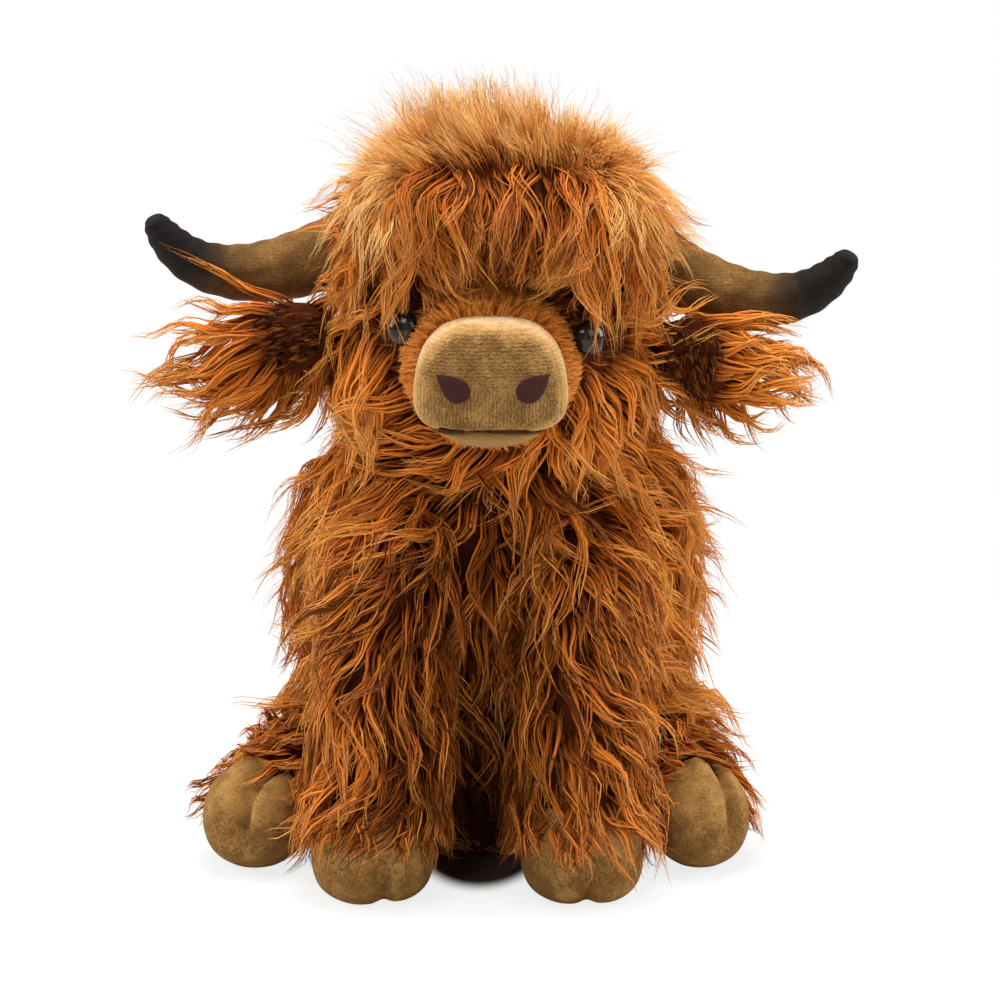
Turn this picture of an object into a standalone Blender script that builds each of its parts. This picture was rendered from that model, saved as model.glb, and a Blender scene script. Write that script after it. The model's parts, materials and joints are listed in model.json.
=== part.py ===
"""A plush cow that sits on its seat and four hooves, built the way a soft toy is sewn.

Lengths are metres, with Z up and the floor at zero. The cow faces -Y, and left and right
are the cow's own sides, so its left is at +X. Long-fur pieces have the mean surface of
their fur. Each limb and ear turns on a ball root that sits in a round pocket, and the head
turns on the flat neck seam.
"""

import math

import bmesh
import bpy
from mathutils import Matrix, Vector

# Clearances and cutters
GAP = 0.0003
DOME_GAP = 0.0005
OVERRUN = 0.030

# Wall thicknesses: pile and backing together
FUR_WALL = 0.011
LEG_WALL = 0.008
VELOUR_WALL = 0.002
BASE_WALL = 0.002

# Body
NECK_HEIGHT = 0.158
TORSO_HALF_WIDTH = 0.078
TORSO_HALF_DEPTH = 0.058
TORSO_LEAN = 0.015
TORSO_X = 0.002
PELLET_BAG_HALF_WIDTH = 0.036
PELLET_BAG_HALF_DEPTH = 0.030
PELLET_BAG_HEIGHT = 0.030

# Head
HEAD_X = 0.003
HEAD_Y = -0.012
HEAD_HALF_WIDTH = 0.064
HEAD_HALF_DEPTH = 0.058
HEAD_HEIGHT = 0.116
HEAD_ROLL = math.radians(3.0)
FORELOCK_HALF_WIDTH = 0.0648
FORELOCK_HALF_DEPTH = 0.0585
FORELOCK_HEIGHT = 0.064
FORELOCK_RISE = 0.009
FORELOCK_FORWARD = 0.013

# Face: places are from the head's own middle and neck
FACE_SHIFT = -0.0025
FACE_HALF_WIDTH = 0.034
FACE_HALF_DEPTH = 0.028
FACE_HEIGHT = 0.066
FACE_RISE = 0.0070
FACE_FORWARD = 0.044
MUZZLE_HALF_WIDTH = 0.0285
MUZZLE_HALF_DEPTH = 0.027
MUZZLE_HEIGHT = 0.040
MUZZLE_RISE = 0.0155
MUZZLE_FORWARD = 0.068
LIP_HALF_WIDTH = 0.0215
LIP_HALF_DEPTH = 0.0225
LIP_HEIGHT = 0.011
LIP_DROP = 0.0055
SEAM_RADIUS = 0.0007
NOSTRIL_SPACING = 0.027
NOSTRIL_LENGTH = 0.0145
NOSTRIL_WIDTH = 0.0115
NOSTRIL_THICKNESS = 0.0008
EYE_RADIUS = 0.0065
EYE_DOME_HEIGHT = 0.0046
EYE_FLANGE_THICKNESS = 0.0012
EYE_STEM_RADIUS = 0.0022
EYE_SPACING = 0.071
EYE_RISE = 0.0462
EYE_SINK = 0.0045
WASHER_RADIUS = 0.0078
WASHER_THICKNESS = 0.0016

# Horns: the root's height is from the neck
HORN_RADIUS = 0.0132
HORN_SPAN = 0.1320
HORN_RISE = 0.0710
HORN_DIP = 0.0165
HORN_FORWARD = 0.014

# Ears: the root's height is from the neck
EAR_LENGTH = 0.051
EAR_HALF_HEIGHT = 0.0180
EAR_HALF_THICKNESS = 0.0090
EAR_BALL_RADIUS = 0.0095
EAR_RISE = 0.0390
EAR_DROOP = 0.021
EAR_LINING_PROUD = 0.0020
EAR_LINING_SHARE = 0.72

# Front legs: the shoulder's height is down from the neck
SHOULDER_DROP = 0.0410
SHOULDER_BALL_RADIUS = 0.0245
SHOULDER_SINK = 0.004
FRONT_LEG_RADIUS = 0.0252
FRONT_FOOT_SPACING = 0.0770
FRONT_FOOT_REACH = 0.0770
FRONT_LEG_FOOT = 0.0225
HOOF_HALF_WIDTH = 0.0235
HOOF_HALF_DEPTH = 0.0260
HOOF_HEIGHT = 0.042
CLEFT_DEPTH = 0.0100
CLEFT_HALF_WIDTH = 0.0013

# Hind legs
HIP_HEIGHT = 0.034
HIP_BALL_RADIUS = 0.0235
HIP_SINK = 0.005
HIND_LEG_RADIUS = 0.0238
HIND_FOOT_SPACING = 0.1660
HIND_FOOT_REACH = 0.0475
HIND_HOOF_HALF_WIDTH = 0.0190
HIND_HOOF_HALF_HEIGHT = 0.0210
HIND_HOOF_LENGTH = 0.0430
HIND_FLAT = 0.0005

# The legs stand a little to the cow's right of its middle
FOOT_SHIFT = -0.0045

# Tail
TAIL_HEIGHT = 0.034
TAIL_BALL_RADIUS = 0.0080
TAIL_RADIUS = 0.0056
TAIL_LENGTH = 0.026
TAIL_SINK = 0.002
TUFT_RADIUS = 0.0110
TUFT_LENGTH = 0.033

SIDES = (("right", -1), ("left", 1))
BALL_ACROSS = 16
BALL_UP = 8
CLEFT_ACROSS = 8
CLEFT_UP = 6
TURNED_STEPS = 12
DOME_POINTS = 4
MOUTH_POINTS = 13
NOSTRIL_POINTS = 16
NOSTRIL_FULLNESS_SHARE = 1.3
LARGE_RING = 10
LIMB_RING = 8
SMALL_RING = 6

# Level sections: height, half width, half depth and lean, as shares of each form's sizes
TORSO_SHARES = (
    (-0.25, 0.56, 0.68, 1.00),
    (0.04, 0.76, 0.90, 1.00),
    (0.28, 0.87, 1.01, 0.95),
    (0.58, 1.01, 1.00, 0.55),
    (0.82, 0.94, 0.92, 0.10),
    (1.00, 0.77, 0.80, -0.10),
    (1.25, 0.56, 0.60, -0.10),
)
HEAD_SHARES = (
    (-0.30, 0.58, 0.60, 0.0),
    (-0.04, 0.84, 0.84, 0.0),
    (0.14, 1.00, 0.97, 0.0),
    (0.38, 1.02, 1.00, 0.0),
    (0.66, 1.00, 1.00, 0.0),
    (0.88, 0.82, 0.86, 0.0),
    (1.00, 0.48, 0.50, 0.0),
)
FORELOCK_SHARES = (
    (0.00, 0.40, 0.62, 1.0),
    (0.16, 0.70, 0.90, 1.0),
    (0.42, 0.99, 1.00, 0.8),
    (0.68, 1.00, 0.94, 0.4),
    (0.90, 0.74, 0.70, 0.1),
    (1.00, 0.36, 0.36, 0.0),
)
FACE_SHARES = (
    (0.00, 0.40, 0.40, 0.0),
    (0.16, 0.76, 0.76, 0.0),
    (0.40, 1.00, 1.00, 0.0),
    (0.66, 0.96, 0.94, 0.0),
    (0.88, 0.66, 0.62, 0.0),
    (1.00, 0.34, 0.26, 0.0),
)
MUZZLE_SHARES = (
    (0.00, 0.76, 0.86, 0.0),
    (0.08, 0.88, 0.96, 0.0),
    (0.40, 1.01, 1.01, 0.0),
    (0.74, 0.95, 0.96, 0.0),
    (0.94, 0.76, 0.80, 0.0),
    (1.00, 0.58, 0.62, 0.0),
)
LIP_SHARES = (
    (0.00, 0.72, 0.78, 0.0),
    (0.25, 0.92, 0.95, 0.0),
    (0.65, 1.00, 1.00, 0.0),
    (1.00, 0.85, 0.90, 0.0),
)
PELLET_BAG_SHARES = (
    (-0.20, 0.85, 0.85, 0.0),
    (0.15, 0.98, 0.98, 0.0),
    (0.50, 1.00, 1.00, 0.0),
    (0.85, 0.80, 0.80, 0.0),
    (1.00, 0.45, 0.45, 0.0),
)
HOOF_SHARES = (
    (-0.18, 0.80, 0.82, 0.0),
    (0.14, 1.00, 1.00, 0.0),
    (0.48, 1.00, 0.98, 0.0),
    (0.84, 0.76, 0.76, 0.0),
    (1.00, 0.40, 0.40, 0.0),
)
MUZZLE_POWER = 2.5
LIP_POWER = 2.3
ROUND_POWER = 2.0

# Sections square to a path: place along it, half width and half depth as shares
FRONT_LEG_SHARES = (
    (-0.12, 0.78, 0.78),
    (0.10, 0.97, 0.97),
    (0.34, 1.02, 1.02),
    (0.62, 0.94, 0.94),
    (0.92, 1.09, 1.09),
    (1.00, 0.96, 0.96),
)
HIND_LEG_SHARES = (
    (-0.15, 0.80, 0.80),
    (0.14, 0.98, 0.98),
    (0.46, 1.05, 1.05),
    (0.92, 1.03, 1.03),
    (1.00, 0.92, 0.92),
)
HIND_HOOF_SHARES = (
    (0.00, 0.50, 0.50),
    (0.20, 0.86, 0.84),
    (0.58, 1.02, 1.02),
    (0.92, 0.80, 0.80),
    (1.00, 0.50, 0.50),
)
EAR_SHARES = (
    (0.00, 0.46, 0.70),
    (0.22, 0.66, 0.84),
    (0.52, 1.04, 1.02),
    (0.86, 0.74, 0.78),
    (1.00, 0.32, 0.40),
)
TAIL_SHARES = (
    (0.00, 1.00, 1.00),
    (0.45, 1.00, 1.00),
    (0.80, 0.96, 0.96),
    (1.00, 0.90, 0.90),
)
LINING_ROWS = slice(1, 4)
TUFT_SHARES = (
    (0.00, 0.55, 0.55),
    (0.22, 0.90, 0.90),
    (0.55, 1.00, 1.00),
    (0.85, 0.72, 0.72),
    (1.00, 0.32, 0.32),
)

# Horn path: place along the span, height as a share of the dip, forward place and radius
HORN_SHARES = (
    (0.34, -0.10, -0.15, 1.00),
    (0.50, 0.52, -0.10, 1.00),
    (0.68, 1.02, 0.12, 0.85),
    (0.86, 0.86, 0.52, 0.67),
    (0.97, 0.00, 0.90, 0.50),
    (1.00, -0.30, 1.00, 0.36),
)
CORE_SHARES = (
    (0.40, 0.62, 0.62),
    (0.52, 1.00, 1.00),
    (1.00, 1.00, 1.00),
    (1.30, 1.00, 1.00),
)

SHOULDER_BEARING = math.radians(30.0)
HIP_BEARING = math.radians(80.0)
TAIL_BEARING = math.radians(180.0)
EAR_BEARING = math.radians(80.0)
EYE_TURN = math.radians(27.0)
EYE_LIFT = math.radians(4.0)
MOUTH_SHARE = 0.085
MOUTH_TURN = math.radians(50.0)
NOSTRIL_SHARE = 0.50
LEG_BEND_SHARE = 0.16
NOSTRIL_TILT = math.radians(38.0)
NOSTRIL_REACH_SHARE = 0.30
CLEFT_PLACE_SHARE = 0.15
TUFT_SLOPE = math.radians(40.0)
HIND_LEG_END_SHARE = 0.36
CLEFT_HEIGHT_SHARE = 0.55
TAIL_PATH_SHARES = ((0.00, 0.00), (0.40, -0.08), (0.72, -0.28), (0.92, -0.62))

FUR_COLOUR = (0.46, 0.16, 0.045)
FORELOCK_COLOUR = (0.58, 0.23, 0.07)
SHORT_PILE_COLOUR = (0.40, 0.13, 0.035)
VELOUR_COLOUR = (0.45, 0.27, 0.12)
LIP_COLOUR = (0.55, 0.36, 0.18)
THREAD_COLOUR = (0.05, 0.02, 0.012)
EYE_COLOUR = (0.02, 0.012, 0.01)
WASHER_COLOUR = (0.85, 0.85, 0.83)
FILL_COLOUR = (0.88, 0.88, 0.86)
BAG_COLOUR = (0.70, 0.69, 0.66)


class Stack:
    """A soft form of level sections, one above the other.

    Each row of shares holds a height, a half width, a half depth and a lean. The outline
    of a section is an ellipse, or squarer where the power is over two.
    """

    def __init__(self, foot, height, half_width, half_depth, lean, shares, power=ROUND_POWER):
        self.foot = Vector(foot)
        self.height = height
        self.half_width = half_width
        self.half_depth = half_depth
        self.lean = lean
        self.shares = shares
        self.power = power

    def row_at(self, share):
        """The row of shares at a height, read between the two nearest rows."""
        for low, high in zip(self.shares, self.shares[1:]):
            if share <= high[0]:
                part = (share - low[0]) / (high[0] - low[0])
                return tuple(a + (b - a) * part for a, b in zip(low, high))
        return self.shares[-1]

    def section(self, row, grow=0.0):
        """(centre, across, along, half width, half depth) of one row."""
        up = row[0] * self.height + grow * (2 * row[0] - 1)
        centre = self.foot + Vector((0.0, row[3] * self.lean, up))
        half_width = row[1] * self.half_width + grow
        half_depth = row[2] * self.half_depth + grow
        return centre, Vector((1, 0, 0)), Vector((0, 1, 0)), half_width, half_depth

    def sections(self, grow=0.0):
        """All sections, with the form's surface moved out by grow."""
        return [self.section(row, grow) for row in self.shares]

    def point(self, share, bearing, sink=0.0):
        """The surface point at a height and a bearing, which is zero straight ahead and
        grows towards the cow's left, moved in by sink."""
        row = self.row_at(share)
        centre, across, along, half_width, half_depth = self.section(row)
        x = superellipse(math.sin(bearing), self.power)
        y = superellipse(math.cos(bearing), self.power)
        out = Vector((math.sin(bearing), -math.cos(bearing), 0.0))
        return centre + across * half_width * x - along * half_depth * y - out * sink


class Sweep:
    """A soft form of sections square to a path of places."""

    def __init__(self, places, half_widths, half_depths, level=Vector((1, 0, 0))):
        self.places = [Vector(place) for place in places]
        self.half_widths = half_widths
        self.half_depths = half_depths
        self.level = level

    def sections(self, grow=0.0):
        """All sections, with the form's surface moved out by grow."""
        found = []
        last = len(self.places) - 1
        for i, place in enumerate(self.places):
            way = self.places[min(i + 1, last)] - self.places[max(i - 1, 0)]
            way.normalize()
            along = way.cross(self.level).normalized()
            across = along.cross(way).normalized()
            centre = place + way * grow * (2 * i / last - 1)
            found.append(
                (centre, across, along, self.half_widths[i] + grow, self.half_depths[i] + grow)
            )
        return found


def superellipse(value, power):
    """A sine or cosine, pushed outwards to square an outline."""
    return math.copysign(abs(value) ** (2.0 / power), value)


def collection(name, hidden=False):
    """A new collection in the scene."""
    made = bpy.data.collections.new(name)
    bpy.context.scene.collection.children.link(made)
    made.hide_render = hidden
    return made


def material(name, colour, roughness, metallic=0.0):
    """A Principled material."""
    made = bpy.data.materials.new(name)
    made.use_nodes = True
    shader = made.node_tree.nodes["Principled BSDF"]
    shader.inputs["Base Color"].default_value = (*colour, 1.0)
    shader.inputs["Roughness"].default_value = roughness
    shader.inputs["Metallic"].default_value = metallic
    made.diffuse_color = (*colour, 1.0)
    return made


class Workshop:
    """Makes the pieces and the cutters, in their collections."""

    def __init__(self):
        self.parts = collection("plush_cow")
        self.cutters = collection("plush_cow_cutters", hidden=True)
        self.made = {}

    def add(self, name, mesh, finish=None, frame=None, smooth=True):
        """An object of this mesh: a part if it has a finish, and otherwise a cutter."""
        obj = bpy.data.objects.new(name, mesh)
        if finish:
            self.parts.objects.link(obj)
            mesh.materials.append(finish)
        else:
            self.cutters.objects.link(obj)
            obj.hide_render = True
            obj.display_type = "WIRE"
        if smooth:
            mesh.shade_smooth()
        if frame:
            frame.hold(obj)
        self.made[name] = obj
        return obj

    def soft(self, name, sections, finish=None, frame=None, sides=LARGE_RING, power=ROUND_POWER):
        """A coarse cage of rings, rounded with one level of Subdivision Surface."""
        cage = bmesh.new()
        spread = 1.0 / math.cos(math.pi / sides)
        rings = []
        for centre, across, along, half_width, half_depth in sections:
            ring = []
            for i in range(sides):
                turn = math.tau * i / sides
                x = superellipse(math.cos(turn), power) * half_width * spread
                y = superellipse(math.sin(turn), power) * half_depth * spread
                ring.append(cage.verts.new(centre + across * x + along * y))
            rings.append(ring)
        for low, high in zip(rings, rings[1:]):
            for i in range(sides):
                j = (i + 1) % sides
                cage.faces.new((low[i], low[j], high[j], high[i]))
        cage.faces.new(reversed(rings[0]))
        cage.faces.new(rings[-1])
        mesh = bpy.data.meshes.new(name)
        cage.to_mesh(mesh)
        cage.free()
        obj = self.add(name, mesh, finish, frame)
        rounding = obj.modifiers.new("rounding", "SUBSURF")
        rounding.levels = 1
        rounding.render_levels = 1
        return obj

    def ball(self, name, centre, radius, frame=None):
        """A sphere, as a cutter or as a piece to join."""
        return self.lens(name, Matrix.Translation(centre) @ Matrix.Scale(radius, 4), frame)

    def lens(self, name, place, frame=None, across=BALL_ACROSS, up=BALL_UP):
        """A unit sphere, placed and stretched by a matrix."""
        shape = bmesh.new()
        bmesh.ops.create_uvsphere(shape, u_segments=across, v_segments=up, radius=1.0)
        bmesh.ops.transform(shape, matrix=place, verts=shape.verts)
        mesh = bpy.data.meshes.new(name)
        shape.to_mesh(mesh)
        shape.free()
        return self.add(name, mesh, None, frame)

    def slab(self, name, low, high):
        """A box cutter that reaches far past the cow and lies between two heights."""
        reach = HORN_SPAN + TORSO_HALF_WIDTH + OVERRUN
        shape = bmesh.new()
        bmesh.ops.create_cube(shape, size=1.0)
        size = Matrix.Diagonal((2 * reach, 2 * reach, high - low, 1))
        place = Matrix.Translation((0, 0, (low + high) / 2))
        bmesh.ops.transform(shape, matrix=place @ size, verts=shape.verts)
        mesh = bpy.data.meshes.new(name)
        shape.to_mesh(mesh)
        shape.free()
        return self.add(name, mesh, smooth=False)

    def turned(self, name, profile, place, finish=None, frame=None):
        """A profile of (radius, height) points turned about the local Z axis. It runs down
        the outer side, from the top to the foot."""
        shape = bmesh.new()
        points = [shape.verts.new((radius, 0.0, height)) for radius, height in profile]
        for a, b in zip(points, points[1:]):
            shape.edges.new((a, b))
        if profile[0][0] > 0:
            shape.edges.new((points[-1], points[0]))
        mesh = bpy.data.meshes.new(name)
        shape.to_mesh(mesh)
        shape.free()
        obj = self.add(name, mesh, finish, frame)
        obj.matrix_basis = place
        screw = obj.modifiers.new("turning", "SCREW")
        screw.steps = TURNED_STEPS
        screw.render_steps = TURNED_STEPS
        screw.use_merge_vertices = True
        screw.merge_threshold = GAP / 10
        screw.use_smooth_shade = True
        return obj

    def thread(self, name, places, radius, finish=None, frame=None):
        """A thin round cord along the places, made a closed mesh."""
        curve = bpy.data.curves.new(name + "_line", "CURVE")
        curve.dimensions = "3D"
        curve.bevel_depth = radius
        curve.bevel_resolution = 2
        curve.use_fill_caps = True
        spline = curve.splines.new("POLY")
        spline.points.add(len(places) - 1)
        for point, place in zip(spline.points, places):
            point.co = (*place, 1.0)
        line = bpy.data.objects.new(name + "_line", curve)
        return self.from_curve(name, line, finish, frame)

    def prism(self, name, outline, place, half_depth, finish=None, frame=None):
        """A flat outline in its own XY plane, with thickness both ways along its Z."""
        curve = bpy.data.curves.new(name + "_outline", "CURVE")
        curve.dimensions = "2D"
        curve.fill_mode = "BOTH"
        curve.extrude = half_depth
        spline = curve.splines.new("POLY")
        spline.points.add(len(outline) - 1)
        spline.use_cyclic_u = True
        for point, (x, y) in zip(spline.points, outline):
            point.co = (x, y, 0.0, 1.0)
        flat = bpy.data.objects.new(name + "_outline", curve)
        flat.matrix_world = place
        return self.from_curve(name, flat, finish, frame)

    def from_curve(self, name, line, finish, frame):
        """The mesh of a curve object, with its caps welded and its place applied."""
        self.cutters.objects.link(line)
        bpy.context.view_layer.update()
        graph = bpy.context.evaluated_depsgraph_get()
        mesh = bpy.data.meshes.new_from_object(line.evaluated_get(graph))
        mesh.name = name
        shape = bmesh.new()
        shape.from_mesh(mesh)
        bmesh.ops.remove_doubles(shape, verts=shape.verts, dist=GAP / 10)
        bmesh.ops.transform(shape, matrix=line.matrix_world, verts=shape.verts)
        bmesh.ops.recalc_face_normals(shape, faces=shape.faces)
        shape.to_mesh(mesh)
        shape.free()
        mesh.materials.clear()
        bpy.data.objects.remove(line)
        return self.add(name, mesh, finish, frame)


def combine(piece, other, operation):
    """A Boolean modifier on piece, with the exact solver."""
    step = piece.modifiers.new(f"{operation.lower()} {other.name}", "BOOLEAN")
    step.operation = operation
    step.solver = "EXACT"
    step.object = other


def cut(piece, *cutters):
    """Takes the cutters away from the piece."""
    for cutter in cutters:
        combine(piece, cutter, "DIFFERENCE")


class Frame:
    """An empty that carries pieces, on a joint's axis where they move. The meshes under it
    give their places as if it were never turned."""

    def __init__(self, name, place, shop, turn=0.0, parent=None):
        self.rest = Vector(place)
        self.empty = bpy.data.objects.new(name, None)
        self.empty.empty_display_size = SHOULDER_BALL_RADIUS
        shop.parts.objects.link(self.empty)
        self.empty.location = place
        self.empty.rotation_euler = (0.0, turn, 0.0)
        if parent:
            parent.hold(self.empty)

    def hold(self, obj):
        """Parents an object to the empty."""
        obj.parent = self.empty
        obj.matrix_parent_inverse = Matrix.Translation(-self.rest)


def torso():
    """The pear-shaped body, leaning back towards its seat."""
    return Stack(
        (TORSO_X, 0, 0), NECK_HEIGHT, TORSO_HALF_WIDTH, TORSO_HALF_DEPTH, TORSO_LEAN, TORSO_SHARES
    )


def head():
    """The head, from the neck seam to the top of the skull."""
    return Stack(
        (HEAD_X, HEAD_Y, NECK_HEIGHT), HEAD_HEIGHT, HEAD_HALF_WIDTH, HEAD_HALF_DEPTH, 0.0, HEAD_SHARES
    )


def forelock():
    """The tuft on the crown, further forward over the forehead than on top."""
    foot = NECK_HEIGHT + HEAD_HEIGHT + FORELOCK_RISE - FORELOCK_HEIGHT
    return Stack(
        (HEAD_X, HEAD_Y, foot),
        FORELOCK_HEIGHT,
        FORELOCK_HALF_WIDTH,
        FORELOCK_HALF_DEPTH,
        -FORELOCK_FORWARD,
        FORELOCK_SHARES,
    )


def face():
    """The short-pile panel behind the muzzle and up the bridge."""
    return Stack(
        (HEAD_X + FACE_SHIFT, HEAD_Y - FACE_FORWARD, NECK_HEIGHT + FACE_RISE),
        FACE_HEIGHT,
        FACE_HALF_WIDTH,
        FACE_HALF_DEPTH,
        0.0,
        FACE_SHARES,
    )


def muzzle_foot():
    """The middle of the muzzle's underside."""
    return Vector((HEAD_X + FACE_SHIFT, HEAD_Y - MUZZLE_FORWARD, NECK_HEIGHT + MUZZLE_RISE))


def muzzle():
    """The boxed muzzle, with its mouth line along the foot."""
    return Stack(
        muzzle_foot(),
        MUZZLE_HEIGHT,
        MUZZLE_HALF_WIDTH,
        MUZZLE_HALF_DEPTH,
        0.0,
        MUZZLE_SHARES,
        MUZZLE_POWER,
    )


def lip():
    """The lower lip, just under the mouth line."""
    return Stack(
        muzzle_foot() - Vector((0, 0, LIP_DROP)),
        LIP_HEIGHT,
        LIP_HALF_WIDTH,
        LIP_HALF_DEPTH,
        0.0,
        LIP_SHARES,
        LIP_POWER,
    )


def pellet_bag():
    """The weight in the seat."""
    return Stack(
        (TORSO_X, TORSO_LEAN, BASE_WALL + GAP),
        PELLET_BAG_HEIGHT,
        PELLET_BAG_HALF_WIDTH,
        PELLET_BAG_HALF_DEPTH,
        0.0,
        PELLET_BAG_SHARES,
    )


def front_hoof(side):
    """A front hoof, up into the leg's open end."""
    return Stack(
        (front_foot_x(side), -FRONT_FOOT_REACH, 0.0),
        HOOF_HEIGHT,
        HOOF_HALF_WIDTH,
        HOOF_HALF_DEPTH,
        0.0,
        HOOF_SHARES,
    )


def front_foot_x(side):
    """Where a front hoof stands."""
    return FOOT_SHIFT + side * FRONT_FOOT_SPACING / 2


def shoulder(side):
    """The centre of a shoulder ball, just inside the torso's surface."""
    share = 1 - SHOULDER_DROP / NECK_HEIGHT
    place = torso().point(share, side * SHOULDER_BEARING, SHOULDER_SINK)
    return place + Vector((FOOT_SHIFT / 2, 0, 0))


def hip(side):
    """The centre of a hip ball, just inside the torso's surface."""
    return torso().point(HIP_HEIGHT / NECK_HEIGHT, side * HIP_BEARING, HIP_SINK)


def tail_root():
    """The centre of the tail's ball."""
    return torso().point(TAIL_HEIGHT / NECK_HEIGHT, TAIL_BEARING, TAIL_SINK)


def limb(start, end, shares, radius, bend=Vector((0, 0, 0))):
    """A limb between two places, bent by up to the vector in its middle."""
    places = [start.lerp(end, share) + 4 * share * (1 - share) * bend for share, _, _ in shares]
    widths = [radius * width for _, width, _ in shares]
    depths = [radius * depth for _, _, depth in shares]
    return Sweep(places, widths, depths)


def front_leg(side, shares=FRONT_LEG_SHARES, radius=FRONT_LEG_RADIUS):
    """A front leg, from the shoulder ball to the top of the hoof."""
    ankle = Vector((front_foot_x(side), -FRONT_FOOT_REACH, FRONT_LEG_FOOT))
    bend = Vector((0, -LEG_BEND_SHARE * radius, 0))
    return limb(shoulder(side), ankle, shares, radius, bend)


def hind_foot(side):
    """The middle of a hind hoof."""
    height = HIND_HOOF_HALF_HEIGHT - HIND_FLAT
    return Vector((FOOT_SHIFT + side * HIND_FOOT_SPACING / 2, -HIND_FOOT_REACH, height))


def hind_way(side):
    """The level direction in which a hind leg points."""
    way = hind_foot(side) - hip(side)
    way.z = 0.0
    return way.normalized()


def hind_hoof(side):
    """A hind hoof, lying on its side of the leg's line."""
    middle = hind_foot(side)
    half = hind_way(side) * HIND_HOOF_LENGTH / 2
    places = [(middle - half).lerp(middle + half, share) for share, _, _ in HIND_HOOF_SHARES]
    widths = [HIND_HOOF_HALF_WIDTH * width for _, width, _ in HIND_HOOF_SHARES]
    heights = [HIND_HOOF_HALF_HEIGHT * height for _, _, height in HIND_HOOF_SHARES]
    across = hind_way(side).cross(Vector((0, 0, 1)))
    return Sweep(places, widths, heights, across)


def hind_leg(side, shares=HIND_LEG_SHARES, radius=HIND_LEG_RADIUS):
    """A hind leg, from the hip ball to the hoof."""
    middle = hind_foot(side)
    end = middle + hind_way(side) * HIND_HOOF_LENGTH * (HIND_LEG_END_SHARE - 0.5)
    form = limb(hip(side), end, shares, radius)
    form.level = hind_way(side).cross(Vector((0, 0, 1)))
    return form


def horn(side):
    """A horn, from inside the head out, down and up to its tip."""
    places = [
        Vector(
            (
                HEAD_X + side * HORN_SPAN * out,
                -HORN_FORWARD * forward,
                NECK_HEIGHT + HORN_RISE - HORN_DIP * dip,
            )
        )
        for out, dip, forward, _ in HORN_SHARES
    ]
    radii = [HORN_RADIUS * share for _, _, _, share in HORN_SHARES]
    return Sweep(places, radii, radii, Vector((0, 1, 0)))


def ear_root(side):
    """The centre of an ear's ball, on the head's surface."""
    return head().point(EAR_RISE / HEAD_HEIGHT, side * EAR_BEARING)


def ear(side, shares=EAR_SHARES, height_share=1.0, forward=0.0):
    """An ear that hangs out and down from its root."""
    root = ear_root(side)
    level = math.sqrt(EAR_LENGTH**2 - EAR_DROOP**2)
    tip = root + Vector((side * level, 0, -EAR_DROOP))
    ahead = Vector((0, -forward, 0))
    places = [root.lerp(tip, share) + ahead for share, _, _ in shares]
    heights = [EAR_HALF_HEIGHT * height * height_share for _, height, _ in shares]
    depths = [EAR_HALF_THICKNESS * depth for _, _, depth in shares]
    return Sweep(places, depths, heights, Vector((0, 1, 0)))


def tail():
    """The tail's rope, from its ball back and down."""
    places = [
        tail_root() + Vector((0, TAIL_LENGTH * back, TAIL_LENGTH * up))
        for back, up in TAIL_PATH_SHARES
    ]
    radii = [TAIL_RADIUS * share for _, share, _ in TAIL_SHARES]
    return Sweep(places, radii, radii)


def tuft():
    """The tuft at the tail's end, sloping down to just above the floor."""
    start = tail().places[-2]
    slope = Vector((0, math.cos(TUFT_SLOPE), -math.sin(TUFT_SLOPE)))
    return limb(start, start + slope * TUFT_LENGTH, TUFT_SHARES, TUFT_RADIUS)


def eye_place(side):
    """The place and turn of an eye: its own Z looks out of the head."""
    surface = head()
    share = EYE_RISE / HEAD_HEIGHT
    half_width = surface.section(surface.row_at(share))[3]
    bearing = math.asin(EYE_SPACING / 2 / half_width)
    out = Vector((side * math.sin(EYE_TURN), -math.cos(EYE_TURN), math.sin(EYE_LIFT))).normalized()
    base = surface.point(share, side * bearing) - out * EYE_SINK
    return Matrix.Translation(base) @ out.to_track_quat("Z", "Y").to_matrix().to_4x4()


def nostril_outline():
    """A teardrop, pointed at one end: its half width is the sine of the turn by the square
    of the sine of half the turn."""
    turns = [math.tau * i / NOSTRIL_POINTS for i in range(NOSTRIL_POINTS)]
    return [
        (
            NOSTRIL_LENGTH / 2 * math.cos(turn),
            NOSTRIL_WIDTH / 2 * NOSTRIL_FULLNESS_SHARE * math.sin(turn) * math.sin(turn / 2),
        )
        for turn in turns
    ]


def pocket_radius(radius):
    """The radius of a faceted round pocket that stays clear of a ball turned inside it."""
    return (radius + GAP) / math.cos(math.pi / BALL_ACROSS) / math.cos(math.pi / 2 / BALL_UP)


def eye_profile():
    """A glossy dome on a flange and a stem, as (radius, height) down its outer side."""
    turns = [math.radians(90 - 90 * i / DOME_POINTS) for i in range(DOME_POINTS)]
    dome = [(EYE_RADIUS * math.cos(t), EYE_DOME_HEIGHT * math.sin(t)) for t in turns]
    dome[0] = (0.0, EYE_DOME_HEIGHT)
    return dome + [
        (EYE_RADIUS, 0.0),
        (EYE_RADIUS, -EYE_FLANGE_THICKNESS),
        (EYE_STEM_RADIUS, -EYE_FLANGE_THICKNESS),
        (EYE_STEM_RADIUS, eye_stem_end()),
        (0.0, eye_stem_end()),
    ]


def washer_top():
    """The washer's outer face, against the inside of the head cover."""
    return EYE_SINK - FUR_WALL - GAP


def eye_stem_end():
    """The stem's end, one washer past the washer."""
    return washer_top() - 2 * WASHER_THICKNESS


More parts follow.
